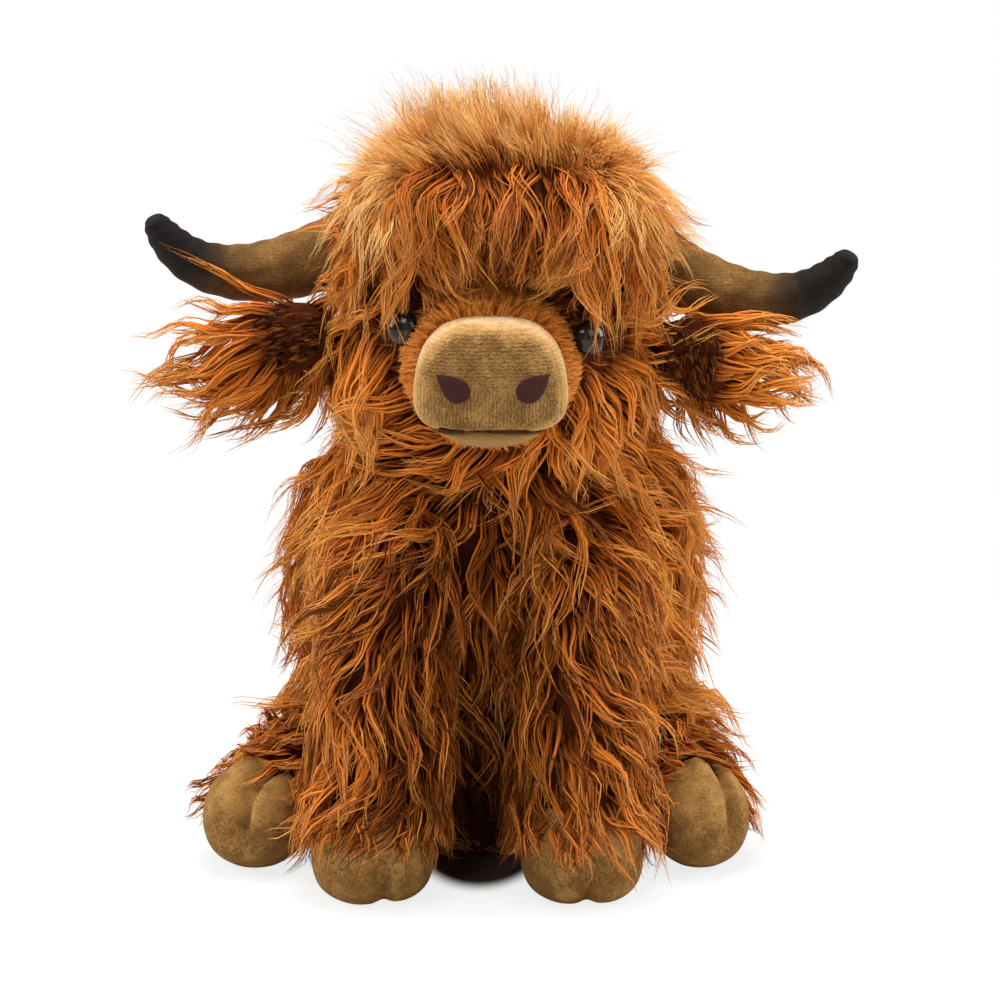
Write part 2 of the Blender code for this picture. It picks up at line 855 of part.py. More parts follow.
def eye_socket_profile():
    """The room for an eye: a recess in the fur, a hole in the backing and a pocket in the fill."""
    room = EYE_RADIUS + GAP
    stem = EYE_STEM_RADIUS + GAP
    seat = -EYE_FLANGE_THICKNESS - GAP
    pocket = WASHER_RADIUS + GAP
    end = eye_stem_end() - GAP
    return [
        (0.0, OVERRUN),
        (room, OVERRUN),
        (room, seat),
        (stem, seat),
        (stem, washer_top() + GAP),
        (pocket, washer_top() + GAP),
        (pocket, end),
        (0.0, end),
    ]


def washer_profile():
    """The locking ring on the stem."""
    inner = EYE_STEM_RADIUS + GAP
    foot = washer_top() - WASHER_THICKNESS
    return [(WASHER_RADIUS, washer_top()), (WASHER_RADIUS, foot), (inner, foot), (inner, washer_top())]


def finishes():
    """One material for each kind of piece."""
    return {
        "fur": material("long_fur", FUR_COLOUR, 0.9),
        "forelock": material("forelock_fur", FORELOCK_COLOUR, 0.9),
        "short_pile": material("short_pile", SHORT_PILE_COLOUR, 0.95),
        "velour": material("velour", VELOUR_COLOUR, 0.9),
        "lip": material("pale_velour", LIP_COLOUR, 0.9),
        "thread": material("dark_thread", THREAD_COLOUR, 0.6),
        "eye": material("glossy_eye", EYE_COLOUR, 0.05),
        "washer": material("washer_plastic", WASHER_COLOUR, 0.4),
        "fill": material("fibre_fill", FILL_COLOUR, 1.0),
        "bag": material("pellet_bag_cloth", BAG_COLOUR, 0.9),
    }


def make_torso(shop, finish):
    """The body's cover, seat panel, fill and pellet bag. Gives the cutter that limbs meet."""
    form = torso()
    inside = form.sections(-FUR_WALL)
    within = form.sections(-FUR_WALL - GAP)
    below_floor = shop.slab("below_floor", -NECK_HEIGHT, 0.0)
    above_panel = shop.slab("above_panel", BASE_WALL, NECK_HEIGHT + HEAD_HEIGHT)
    below_fill = shop.slab("below_fill", -NECK_HEIGHT, BASE_WALL + GAP)
    above_neck = shop.slab("above_neck", NECK_HEIGHT - GAP / 2, NECK_HEIGHT + HEAD_HEIGHT)
    pockets = [shop.ball("tail_pocket", tail_root(), pocket_radius(TAIL_BALL_RADIUS))]
    for name, side in SIDES:
        radius = pocket_radius(SHOULDER_BALL_RADIUS)
        pockets.append(shop.ball(f"shoulder_pocket_{name}", shoulder(side), radius))
        radius = pocket_radius(HIP_BALL_RADIUS)
        pockets.append(shop.ball(f"hip_pocket_{name}", hip(side), radius))

    cover = shop.soft("body_cover", form.sections(), finish["fur"])
    hollow = shop.soft("body_inside", inside, None, None, LIMB_RING)
    cut(cover, hollow, below_floor, above_neck, *pockets)
    panel = shop.soft("base_panel", within, finish["velour"], None, LIMB_RING)
    cut(panel, below_floor, above_panel)
    fill = shop.soft("body_stuffing", within, finish["fill"], None, LIMB_RING)
    bag_room = shop.soft("pellet_bag_room", pellet_bag().sections(GAP))
    cut(fill, below_fill, above_neck, bag_room, *pockets)
    bag = shop.soft("pellet_bag", pellet_bag().sections(), finish["bag"])
    cut(bag, below_fill)


def make_front_leg(shop, finish, name, side):
    """A front leg on its shoulder ball, its fill and its hoof."""
    frame = Frame(f"front_leg_{name}_axis", shoulder(side), shop)
    floor = shop.made["below_floor"]
    hoof_room = shop.soft(f"front_hoof_room_{name}", front_hoof(side).sections(GAP), None, frame, LIMB_RING)
    core = front_leg(side, CORE_SHARES, FRONT_LEG_RADIUS - LEG_WALL)
    hollow = shop.soft(f"front_leg_hollow_{name}", core.sections(), None, frame, SMALL_RING)
    ball = shop.ball(f"shoulder_ball_{name}", shoulder(side), SHOULDER_BALL_RADIUS, frame)

    cover = shop.soft(f"front_leg_{name}", front_leg(side).sections(), finish["fur"], frame, LIMB_RING)
    cut(cover, shop.made["torso_grown"])
    combine(cover, ball, "UNION")
    cut(cover, hollow, hoof_room)
    shop.soft(f"front_leg_grown_{name}", front_leg(side).sections(GAP), None, frame, LIMB_RING)
    fill = shop.soft(
        f"front_leg_stuffing_{name}", core.sections(-GAP)[:-1], finish["fill"], frame, SMALL_RING
    )
    cut(fill, hoof_room)

    hoof = shop.soft(f"front_hoof_{name}", front_hoof(side).sections(), finish["velour"], frame, LIMB_RING)
    front = Vector((front_foot_x(side), -FRONT_FOOT_REACH - HOOF_HALF_DEPTH, 0))
    front.z = HOOF_HEIGHT * CLEFT_PLACE_SHARE
    cut(hoof, floor, cleft(shop, f"front_cleft_{name}", front, HOOF_HEIGHT, frame))


def cleft(shop, name, place, height, frame, turn=0.0):
    """The notch between a hoof's two toes: a thin upright lens."""
    size = Matrix.Diagonal((CLEFT_HALF_WIDTH, CLEFT_DEPTH, height * CLEFT_HEIGHT_SHARE, 1))
    stand = Matrix.Translation(place) @ Matrix.Rotation(turn, 4, "Z")
    return shop.lens(name, stand @ size, frame, CLEFT_ACROSS, CLEFT_UP)


def make_hind_leg(shop, finish, name, side):
    """A hind leg on its hip ball, its fill and its hoof."""
    frame = Frame(f"hind_leg_{name}_axis", hip(side), shop)
    floor = shop.made["below_floor"]
    front_leg_room = shop.made[f"front_leg_grown_{name}"]
    hoof_room = shop.soft(f"hind_hoof_room_{name}", hind_hoof(side).sections(GAP), None, frame, LIMB_RING)
    core = hind_leg(side, CORE_SHARES, HIND_LEG_RADIUS - LEG_WALL)
    hollow = shop.soft(f"hind_leg_hollow_{name}", core.sections(), None, frame, SMALL_RING)
    ball = shop.ball(f"hip_ball_{name}", hip(side), HIP_BALL_RADIUS, frame)

    cover = shop.soft(f"hind_leg_{name}", hind_leg(side).sections(), finish["fur"], frame, LIMB_RING)
    cut(cover, shop.made["torso_grown"], front_leg_room, floor)
    combine(cover, ball, "UNION")
    cut(cover, hollow, hoof_room)
    fill = shop.soft(
        f"hind_leg_stuffing_{name}", core.sections(-GAP)[:-1], finish["fill"], frame, SMALL_RING
    )
    cut(fill, hoof_room)

    hoof = shop.soft(f"hind_hoof_{name}", hind_hoof(side).sections(), finish["velour"], frame, LIMB_RING)
    way = hind_way(side)
    front = hind_foot(side) + way * HIND_HOOF_LENGTH / 2
    height = 2 * HIND_HOOF_HALF_HEIGHT
    notch = cleft(shop, f"hind_cleft_{name}", front, height, frame, math.atan2(way.x, -way.y))
    cut(hoof, floor, front_leg_room, notch)


def make_tail(shop, finish):
    """The tail on its ball, with its tuft."""
    frame = Frame("tail_axis", tail_root(), shop)
    rope = shop.soft("tail", tail().sections(), finish["fur"], frame, SMALL_RING)
    cut(rope, shop.made["torso_grown"])
    combine(rope, shop.ball("tail_ball", tail_root(), TAIL_BALL_RADIUS, frame), "UNION")
    rope_room = shop.soft("tail_room", tail().sections(GAP), None, frame, SMALL_RING)
    end = shop.soft("tail_tuft", tuft().sections(), finish["fur"], frame, SMALL_RING)
    cut(end, rope_room)


def make_eye(shop, finish, frame, name, side):
    """An eye and its washer. Gives the cutter for the room that they take."""
    place = eye_place(side)
    shop.turned(f"eye_{name}", eye_profile(), place, finish["eye"], frame)
    shop.turned(f"eye_washer_{name}", washer_profile(), place, finish["washer"], frame)
    return shop.turned(f"eye_socket_{name}", eye_socket_profile(), place, None, frame)


def make_horn(shop, finish, frame, name, side):
    """A velour horn and its fill, open where they meet the head."""
    form = horn(side)
    rooms = shop.made["head_grown"], shop.made["forelock_grown"]
    cover = shop.soft(f"horn_{name}", form.sections(), finish["velour"], frame, SMALL_RING)
    hollow = form.sections(-VELOUR_WALL)
    inside = shop.soft(f"horn_inside_{name}", hollow, None, frame, SMALL_RING)
    cut(cover, inside, *rooms)
    within = form.sections(-VELOUR_WALL - GAP)
    fill = shop.soft(f"horn_stuffing_{name}", within, finish["fill"], frame, SMALL_RING)
    cut(fill, *rooms)


def make_ear(shop, finish, head_frame, name, side):
    """An ear on its ball, with its lining. Gives the cutter for its pocket."""
    frame = Frame(f"ear_{name}_axis", ear_root(side), shop, parent=head_frame)
    leaf = shop.soft(f"ear_{name}", ear(side).sections(), finish["fur"], frame, LIMB_RING)
    cut(leaf, shop.made["head_grown"])
    ball = shop.ball(f"ear_ball_{name}", ear_root(side), EAR_BALL_RADIUS, frame)
    combine(leaf, ball, "UNION")
    form = ear(side, EAR_SHARES[LINING_ROWS], EAR_LINING_SHARE, EAR_LINING_PROUD)
    lining = shop.soft(
        f"ear_lining_{name}", form.sections(), finish["short_pile"], frame, LIMB_RING
    )
    cut(lining, shop.soft(f"ear_room_{name}", ear(side).sections(GAP), None, frame, LIMB_RING))
    radius = pocket_radius(EAR_BALL_RADIUS)
    return shop.ball(f"ear_pocket_{name}", ear_root(side), radius, head_frame)


def make_head(shop, finish, frame):
    """The head's cover and fill, the forelock, the eyes, the horns and the ears."""
    form = head()
    grown = shop.soft("head_grown", form.sections(DOME_GAP), None, frame)
    shop.soft("forelock_grown", forelock().sections(GAP), None, frame)
    below_neck = shop.slab("below_neck", -OVERRUN, NECK_HEIGHT + GAP / 2)
    rooms = [below_neck]
    for name, side in SIDES:
        rooms.append(make_eye(shop, finish, frame, name, side))
        rooms.append(make_ear(shop, finish, frame, name, side))
        make_horn(shop, finish, frame, name, side)
    cover = shop.soft("head_cover", form.sections(), finish["fur"], frame)
    inside = form.sections(-FUR_WALL)
    cut(cover, shop.soft("head_inside", inside, None, frame, LIMB_RING), *rooms)
    within = form.sections(-FUR_WALL - GAP)
    fill = shop.soft("head_stuffing", within, finish["fill"], frame, LIMB_RING)
    cut(fill, *rooms)
    crown = shop.soft("forelock", forelock().sections(), finish["forelock"], frame)
    cut(crown, grown)


def make_face(shop, finish, frame):
    """The face panel, the muzzle and its fill, the lower lip, the mouth seam and the nostrils."""
    head_room = shop.made["head_grown"]
    sockets = [shop.made[f"eye_socket_{name}"] for name, _ in SIDES]
    panel = shop.soft("face_panel", face().sections(), finish["short_pile"], frame)
    cut(panel, head_room, shop.made["forelock_grown"], *sockets)

    form = muzzle()
    face_room = shop.soft("face_grown", face().sections(GAP), None, frame)
    hollow = shop.soft("muzzle_inside", form.sections(-VELOUR_WALL), None, frame, power=form.power)
    seam = [
        form.point(MOUTH_SHARE, MOUTH_TURN * (2 * i / (MOUTH_POINTS - 1) - 1))
        for i in range(MOUTH_POINTS)
    ]
    shop.thread("mouth_seam", seam, SEAM_RADIUS, finish["thread"], frame)
    seam_room = shop.thread("mouth_seam_room", seam, SEAM_RADIUS + GAP, None, frame)
    cover = shop.soft("muzzle", form.sections(), finish["velour"], frame, power=form.power)
    cut(cover, hollow, face_room, head_room, seam_room)
    within = form.sections(-VELOUR_WALL - GAP)
    fill = shop.soft("muzzle_stuffing", within, finish["fill"], frame, power=form.power)
    cut(fill, face_room, head_room)

    muzzle_room = shop.soft("muzzle_grown", form.sections(GAP), None, frame, power=form.power)
    lower = shop.soft("lower_lip", lip().sections(), finish["lip"], frame, power=LIP_POWER)
    cut(lower, muzzle_room, face_room, head_room, seam_room)

    outside = form.sections(GAP + NOSTRIL_THICKNESS)
    patch_skin = shop.soft("nostril_skin", outside, None, frame, power=form.power)
    for name, side in SIDES:
        place = nostril_place(side)
        reach = MUZZLE_HALF_DEPTH * NOSTRIL_REACH_SHARE
        patch = shop.prism(
            f"nostril_{name}", nostril_outline(), place, reach, finish["thread"], frame
        )
        combine(patch, patch_skin, "INTERSECT")
        cut(patch, muzzle_room)


def nostril_place(side):
    """A nostril's middle and turn, on the front of the muzzle."""
    up = MUZZLE_HEIGHT * NOSTRIL_SHARE
    middle = muzzle_foot() + Vector((side * NOSTRIL_SPACING / 2, -MUZZLE_HALF_DEPTH, up))
    tilt = NOSTRIL_TILT if side > 0 else math.pi - NOSTRIL_TILT
    upright = Matrix.Rotation(math.radians(90), 4, "X")
    return Matrix.Translation(middle) @ upright @ Matrix.Rotation(tilt, 4, "Z")


def main():
    for obj in list(bpy.data.objects):
        bpy.data.objects.remove(obj)
    shop = Workshop()
    finish = finishes()
    make_torso(shop, finish)
    shop.soft("torso_grown", torso().sections(GAP))
    for name, side in SIDES:
        make_front_leg(shop, finish, name, side)
        make_hind_leg(shop, finish, name, side)
    make_tail(shop, finish)
    neck = Vector((HEAD_X, HEAD_Y, NECK_HEIGHT))
    head_turn = Frame("head_turn_axis", neck, shop)
    middle = neck + Vector((0, 0, HEAD_HEIGHT / 2))
    head_frame = Frame("head_frame", middle, shop, HEAD_ROLL, head_turn)
    make_head(shop, finish, head_frame)
    make_face(shop, finish, head_turn)


main()
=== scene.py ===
"""Dresses the plush cow: skins, long fur in locks, short pile, velour pieces, eyes and stitches.

Lengths are metres. The cow faces -Y, and left and right are the cow's own sides, so its left
is at +X. Each form is worked out from the boxes and joints of the frame.
"""

import json
import math

import bpy
import numpy as np
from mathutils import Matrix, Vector


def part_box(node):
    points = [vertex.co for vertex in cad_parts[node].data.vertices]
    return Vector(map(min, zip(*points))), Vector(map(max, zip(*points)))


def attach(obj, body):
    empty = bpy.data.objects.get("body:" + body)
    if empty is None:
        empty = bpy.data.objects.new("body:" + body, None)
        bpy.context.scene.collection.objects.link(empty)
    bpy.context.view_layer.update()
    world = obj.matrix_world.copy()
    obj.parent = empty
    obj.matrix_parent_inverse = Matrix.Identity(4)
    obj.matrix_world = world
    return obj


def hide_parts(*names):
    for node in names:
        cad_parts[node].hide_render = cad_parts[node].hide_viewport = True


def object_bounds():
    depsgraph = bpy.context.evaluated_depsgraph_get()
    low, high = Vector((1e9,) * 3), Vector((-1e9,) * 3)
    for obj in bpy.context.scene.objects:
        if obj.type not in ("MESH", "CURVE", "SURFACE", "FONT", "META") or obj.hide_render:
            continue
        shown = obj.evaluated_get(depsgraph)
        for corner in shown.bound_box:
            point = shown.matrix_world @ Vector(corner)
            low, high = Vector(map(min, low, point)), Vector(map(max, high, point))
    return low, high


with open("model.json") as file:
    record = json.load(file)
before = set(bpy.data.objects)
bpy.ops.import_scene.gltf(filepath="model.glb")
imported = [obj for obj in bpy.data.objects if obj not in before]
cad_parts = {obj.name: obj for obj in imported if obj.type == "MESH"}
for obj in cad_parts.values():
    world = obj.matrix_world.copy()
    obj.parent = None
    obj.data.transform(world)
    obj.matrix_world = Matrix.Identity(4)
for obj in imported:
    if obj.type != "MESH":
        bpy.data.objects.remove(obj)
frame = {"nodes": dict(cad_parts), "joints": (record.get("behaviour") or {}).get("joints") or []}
CAD_BOX = [list(corner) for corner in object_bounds()]
JOINTS = {joint["name"]: np.array(joint["pos_m"]) for joint in frame["joints"]}
SIDES = (("right", -1), ("left", 1))

bl_info = {
    "name": "Plush Cow Dressing",
    "version": (1, 0, 0),
    "blender": (4, 5, 0),
    "location": "3D View > Sidebar > Cow",
    "description": "Builds the fur, velour pieces, eyes and stitches of a plush cow",
    "category": "Object",
}

TINY = 1e-9
PROBE = 0.0005
TABLE_ROWS = 120
FLOOR_GAP = 0.0004
CEILING_START = 0.0040
CEILING_END = 0.0178
BLACK = (0.0, 0.0, 0.0)
WHITE = (1.0, 1.0, 1.0)

# Half the height over which the muzzle's ribs turn, and the height of the hooves' dark specks
RIB_TURN = 0.004
SPECK_HEIGHT = 0.044

# How locks vary: a root's depth, the ranges of their lay, flick, curl and curl length as
# shares, and the spreads of their bearing, lift and shade
ROOT_DEPTH = 0.0012
LAY_RANGE = (0.35, 1.25)
FLICK_RANGE = (-0.4, 1.8)
CURL_RANGE = (0.45, 1.35)
CURL_LENGTH_RANGE = (0.75, 1.35)
BEARING_SPREAD = 0.16
LIFT_SPREAD = 0.10
LOCK_SHADE_SPREAD = 0.13

# How strands vary: reach along their lock, the share of loose ones and how much they clump, the
# range of their width, the width of fine ones, how much they taper, how flat they are, and the
# spreads of their place in the curl and their shade
REACH_MEAN = 0.93
REACH_SPREAD = 0.12
REACH_RANGE = (0.45, 1.12)
LOOSE_STRANDS = 0.12
LOOSE_CLUMP = 0.25
WIDTH_RANGE = (0.65, 1.25)
FINE_WIDTH = 0.36
TIP_TAPER = 0.86
STRAND_FLATNESS = 0.45
PHASE_SPREAD = 0.35
STRAND_SHADE_SPREAD = 0.17

# The waves of the swirl: how many, how fine, and what their sum is divided by
SWIRL_WAVES = 4
SWIRL_FINENESS = 45.0
SWIRL_SCALE = 1.6

# How deep a lock's root may lie in another form before it is left out, and its room to a horn
BURIED = 0.004
HORN_ROOM = 0.001

# The crown, down from its top: the tuft's edge over the forehead and how much lower it is aside
# and behind, where the pile starts to be swept out, where none stands up any more, where the
# locks behind and over the forehead start, and the place that the pile points away from
TUFT_EDGE = 0.0115
TUFT_EDGE_DROP = 0.0155
SWEPT_FROM = 0.0105
UPRIGHT_TO = 0.0155
BACK_LOCKS_TO = 0.060
FORELOCK_TO = 0.041
CROWN_CENTRE = 0.020

# The bare bridge and brow, and the hollow round each eye: half widths, half height and place
FACE_FRONT = -0.035
EYE_FRONT = -0.030
BRIDGE_HALF_WIDTH = 0.034
BROW_HALF_WIDTH = 0.044
EYE_HOLLOW = (0.0125, 0.0110)
EYE_HOLLOW_SHIFT = 0.003

# How deep the fabric lies under the mean surface of the pile
BODY_INSET = 0.0085
HEAD_INSET = 0.0080
CROWN_INSET = 0.0110
LEG_INSET = 0.0060
EAR_INSET = 0.0035
TAIL_INSET = 0.0012
HOOF_INSET = 0.0010

# Clefts of the hooves: the band of heights they fade in and out over, their place across and
# their depth
FRONT_CLEFT_BAND = (-0.2, -0.1, 0.25, 0.62)
FRONT_CLEFT_SHARES = {"right": 0.17, "left": 0.05}
FRONT_CLEFT_DEPTH = 0.0040
HIND_CLEFT_BAND = (0.15, 0.55, 1.00, 1.20)
HIND_CLEFT_SHARE = 0.30
HIND_CLEFT_DEPTH = 0.0075

# Rows of a level form: height, half width, half depth and lean of the middle, as shares
TORSO_SHARES = (
    (0.00, 0.74, 0.86, 0.26),
    (0.06, 0.79, 0.91, 0.26),
    (0.28, 0.91, 1.01, 0.25),
    (0.58, 1.05, 1.00, 0.14),
    (0.82, 0.98, 0.92, 0.03),
    (0.95, 0.86, 0.84, -0.02),
    (1.00, 0.74, 0.74, -0.03),
)
HEAD_SHARES = (
    (0.00, 0.80, 0.80, 0.0),
    (0.06, 0.92, 0.90, 0.0),
    (0.16, 1.00, 0.97, 0.0),
    (0.38, 1.02, 1.00, 0.0),
    (0.66, 1.00, 1.00, 0.0),
    (0.86, 0.84, 0.86, 0.0),
    (0.96, 0.55, 0.56, 0.0),
    (1.00, 0.10, 0.10, 0.0),
)
CROWN_SHARES = (
    (0.00, 0.62, 0.80, -0.10),
    (0.20, 0.88, 0.94, -0.10),
    (0.45, 1.00, 1.00, -0.06),
    (0.70, 0.90, 0.94, -0.02),
    (0.88, 0.72, 0.78, 0.02),
    (0.97, 0.46, 0.50, 0.04),
    (1.00, 0.12, 0.12, 0.04),
)
FACE_SHARES = (
    (0.00, 0.40, 0.40, 0.0),
    (0.16, 0.80, 0.78, 0.0),
    (0.40, 1.00, 1.00, 0.0),
    (0.66, 0.96, 0.94, 0.0),
    (0.88, 0.64, 0.62, 0.0),
    (1.00, 0.20, 0.18, 0.0),
)
HOOF_SHARES = (
    (0.00, 0.70, 0.72, 0.0),
    (0.03, 0.84, 0.86, 0.0),
    (0.13, 0.96, 0.97, 0.0),
    (0.34, 1.02, 1.01, 0.0),
    (0.62, 0.95, 0.96, 0.0),
    (0.86, 0.68, 0.70, 0.0),
    (1.00, 0.20, 0.20, 0.0),
)
HIND_HOOF_SHARES = (
    (0.00, 0.50, 0.48, 0.10),
    (0.08, 0.74, 0.72, 0.05),
    (0.22, 0.93, 0.93, 0.0),
    (0.45, 1.02, 1.01, 0.0),
    (0.70, 0.93, 0.94, 0.0),
    (0.90, 0.62, 0.64, 0.0),
    (1.00, 0.18, 0.18, 0.0),
)

# Rows of a limb: place along it and radius, as shares
FRONT_LEG_SHARES = (
    (-0.19, 0.20),
    (-0.15, 0.62),
    (-0.02, 0.95),
    (0.30, 1.02),
    (0.62, 0.94),
    (0.90, 1.06),
    (1.06, 0.82),
)
HIND_LEG_SHARES = (
    (0.00, 0.92),
    (0.40, 1.04),
    (0.80, 1.00),
    (1.05, 0.78),
)
EAR_SHARES = (
    (-0.16, 0.45),
    (-0.02, 0.74),
    (0.16, 0.92),
    (0.50, 1.10),
    (0.86, 0.80),
    (1.00, 0.22),
)
TAIL_SHARES = (
    (0.00, 1.00),
    (0.50, 1.00),
    (1.00, 0.90),
)
TUFT_SHARES = (
    (0.00, 0.50),
    (0.30, 0.95),
    (0.70, 0.90),
    (1.00, 0.25),
)

# Horn rows: place along the span, dip, forward place and radius, as shares
HORN_SHARES = (
    (0.36, -0.10, -0.15, 1.02),
    (0.50, 0.52, -0.10, 1.00),
    (0.68, 1.02, 0.12, 0.85),
    (0.86, 0.86, 0.52, 0.67),
    (0.95, 0.10, 0.84, 0.50),
    (0.975, -0.30, 1.00, 0.28),
)
HORN_RADIUS = 0.0134
HORN_DIP = 0.0165
HORN_FORWARD = 0.014
HORN_RISE = 0.0710
HORN_DARK_LENGTH = 0.0320
HORN_FADE_LENGTH = 0.0300

# Muzzle profile, from the middle of its front back to the face: reach and depth shares
MUZZLE_SHARES = (
    (0.00, 0.00),
    (0.35, 0.006),
    (0.62, 0.030),
    (0.82, 0.090),
    (0.94, 0.210),
    (0.99, 0.380),
    (1.00, 0.620),
    (0.93, 1.000),
)
MUZZLE_POWERS = (4.2, 2.8)
MUZZLE_TAPER_SHARE = 0.12
NOSTRIL_SHIFTS = {"right": -0.0006, "left": 0.0024}

# Rings and sides
SKIN_ROWS = 40
SKIN_SIDES = 56
HOOF_GRID = (60, 110)
MUZZLE_GRID = (90, 160)
ROOT_ROWS = 150
ROOT_SIDES = 200
PATH_STEPS = 12

# Finishes of the inner nodes, by a word of their names: name, two colours, grain and roughness
INNER_FINISHES = {
    "stuffing": ("fibre_fill", (0.72, 0.72, 0.70), (0.92, 0.92, 0.90), 160.0, 1.0),
    "pellet": ("bag_cloth", (0.55, 0.54, 0.50), (0.72, 0.71, 0.68), 1800.0, 0.9),
    "washer": ("washer_plastic", (0.80, 0.80, 0.78), (0.88, 0.88, 0.86), 300.0, 0.45),
}

# Lamps: place, size and power
LAMPS = (
    ("key", (-0.55, -1.05, 1.50), 0.8, 10.0),
    ("fill", (0.95, -1.05, 0.95), 0.8, 4.5),
    ("top", (0.0, 0.10, 1.60), 0.8, 31.0),
    ("side_right", (-1.25, 0.10, 0.60), 0.7, 10.5),
    ("side_left", (1.25, 0.10, 0.60), 0.7, 10.0),
)
WORLD_STRENGTH = 0.22

# The floor's half size, the distances over which it fades to the background, and its deep
# shadow: an ellipse's middle and half sizes
FLOOR_REACH = 3.0
FLOOR_FADE = (0.12, 0.55)
SHADOW_MIDDLE = (-0.004, 0.0, 0.0)
SHADOW_REACH = (0.030, 0.080, 1.0)


class CowFurSettings(bpy.types.PropertyGroup):
    """Sizes of the pile."""

    seed: bpy.props.IntProperty(name="Seed", description="Picks another set of locks", default=5)
    strand_width: bpy.props.FloatProperty(
        name="Strand Width", description="Width of a strand near its root", default=0.0014,
        unit="LENGTH", subtype="DISTANCE",
    )
    body_length: bpy.props.FloatProperty(
        name="Body Pile", description="Length of the locks on the body", default=0.046,
        unit="LENGTH", subtype="DISTANCE",
    )
    head_length: bpy.props.FloatProperty(
        name="Head Pile", description="Length of the locks on the cheeks", default=0.038,
        unit="LENGTH", subtype="DISTANCE",
    )
    forelock_length: bpy.props.FloatProperty(
        name="Forelock", description="Length of the locks over the forehead", default=0.054,
        unit="LENGTH", subtype="DISTANCE",
    )
    crown_length: bpy.props.FloatProperty(
        name="Crown Pile", description="Length of the brushed pile on the crown", default=0.025,
        unit="LENGTH", subtype="DISTANCE",
    )
    leg_length: bpy.props.FloatProperty(
        name="Leg Pile", description="Length of the locks on the legs", default=0.036,
        unit="LENGTH", subtype="DISTANCE",
    )
    ear_length: bpy.props.FloatProperty(
        name="Ear Pile", description="Length of the locks on the ears", default=0.038,
        unit="LENGTH", subtype="DISTANCE",
    )
    short_length: bpy.props.FloatProperty(
        name="Short Pile", description="Length of the pile round the muzzle", default=0.0062,
        unit="LENGTH", subtype="DISTANCE",
    )


class CowColourSettings(bpy.types.PropertyGroup):
    """Colours of the pile, the velour, the thread and the eyes."""

    shadow: bpy.props.FloatVectorProperty(
        name="Pile Shadow", description="Pile at its root", subtype="COLOR",
        default=(0.080, 0.015, 0.003),
    )
    rust: bpy.props.FloatVectorProperty(
        name="Pile Rust", description="Darker pile", subtype="COLOR", default=(0.50, 0.105, 0.014),
    )
    orange: bpy.props.FloatVectorProperty(
        name="Pile Orange", description="Lighter pile", subtype="COLOR", default=(0.88, 0.265, 0.030),
    )
    gold: bpy.props.FloatVectorProperty(
        name="Pile Gold", description="Tips of the lightest pile", subtype="COLOR",
        default=(1.00, 0.50, 0.120),
    )
    velour: bpy.props.FloatVectorProperty(
        name="Velour", description="Muzzle, horns and hooves", subtype="COLOR",
        default=(0.132, 0.060, 0.016),
    )
    velour_light: bpy.props.FloatVectorProperty(
        name="Velour Nap", description="Velour where its nap catches the light", subtype="COLOR",
        default=(0.450, 0.255, 0.082),
    )
    lip: bpy.props.FloatVectorProperty(
        name="Lip", description="The pale lower lip", subtype="COLOR", default=(0.270, 0.145, 0.048),
    )
    horn_tip: bpy.props.FloatVectorProperty(
        name="Horn Tip", description="The sprayed tips of the horns", subtype="COLOR",
        default=(0.012, 0.011, 0.011),
    )
    thread: bpy.props.FloatVectorProperty(
        name="Thread", description="Nostrils and mouth line", subtype="COLOR",
        default=(0.090, 0.030, 0.024),
    )
    eye: bpy.props.FloatVectorProperty(
        name="Eye", description="The glossy eyes", subtype="COLOR", default=(0.010, 0.006, 0.005),
    )


class CowStageSettings(bpy.types.PropertyGroup):
    """The camera and the lamps."""

    lens: bpy.props.FloatProperty(
        name="Lens", description="Focal length of the camera, in millimetres", default=107.5,
    )
    distance: bpy.props.FloatProperty(
        name="Distance", description="From the camera to the cow's middle", default=1.150,
        unit="LENGTH", subtype="DISTANCE",
    )
    elevation: bpy.props.FloatProperty(
        name="Elevation", description="How far the camera looks down", default=math.radians(12.0),
        unit="ROTATION", subtype="ANGLE",
    )
    lamps: bpy.props.FloatProperty(name="Lamps", description="Scales every lamp", default=1.0)


# Arrays and curves


def under_ceiling(heights):
    """Heights eased under a ceiling a little above the frame: past its start s they follow
    s + (e - s)(1 - exp(-(z - s) / (e - s))), which never passes its end e."""
    start = CAD_BOX[1][2] + CEILING_START
    room = CEILING_END - CEILING_START
    over = np.maximum(heights - start, 0)
    return np.minimum(heights, start) + room * (1 - np.exp(-over / room))


def unit(vectors):
    """Each vector over its own length."""
    return vectors / np.maximum(np.linalg.norm(vectors, axis=-1, keepdims=True), TINY)


def smooth_rows(rows, count):
    """Points on the uniform cubic B-spline of the rows, which starts and ends on the end rows.
    Each is a mean of four neighbours, weighted (1-s)^3/6, (3s^3-6s^2+4)/6,
    (-3s^3+3s^2+3s+1)/6 and s^3/6."""
    rows = np.asarray(rows, float)
    rows = np.vstack((2 * rows[:1] - rows[1:2], rows, 2 * rows[-1:] - rows[-2:-1]))
    place = np.linspace(0, len(rows) - 3 - TINY, count)
    i = place.astype(int)
    s = (place - i)[:, None]
    return (
        rows[i] * (1 - s) ** 3
        + rows[i + 1] * (3 * s**3 - 6 * s**2 + 4)
        + rows[i + 2] * (-3 * s**3 + 3 * s**2 + 3 * s + 1)
        + rows[i + 3] * s**3
    ) / 6


def ramp(values, low, high):
    """Rises smoothly from 0 at low to 1 at high: 3s^2 - 2s^3."""
    s = np.clip((values - low) / (high - low), 0, 1)
    return s * s * (3 - 2 * s)


def outward(distance, points):
    """The unit direction in which a distance grows, from its change along each axis."""
    steps = np.eye(3) * PROBE
    slope = [distance(points + step) - distance(points - step) for step in steps]
    return unit(np.stack(slope, -1))


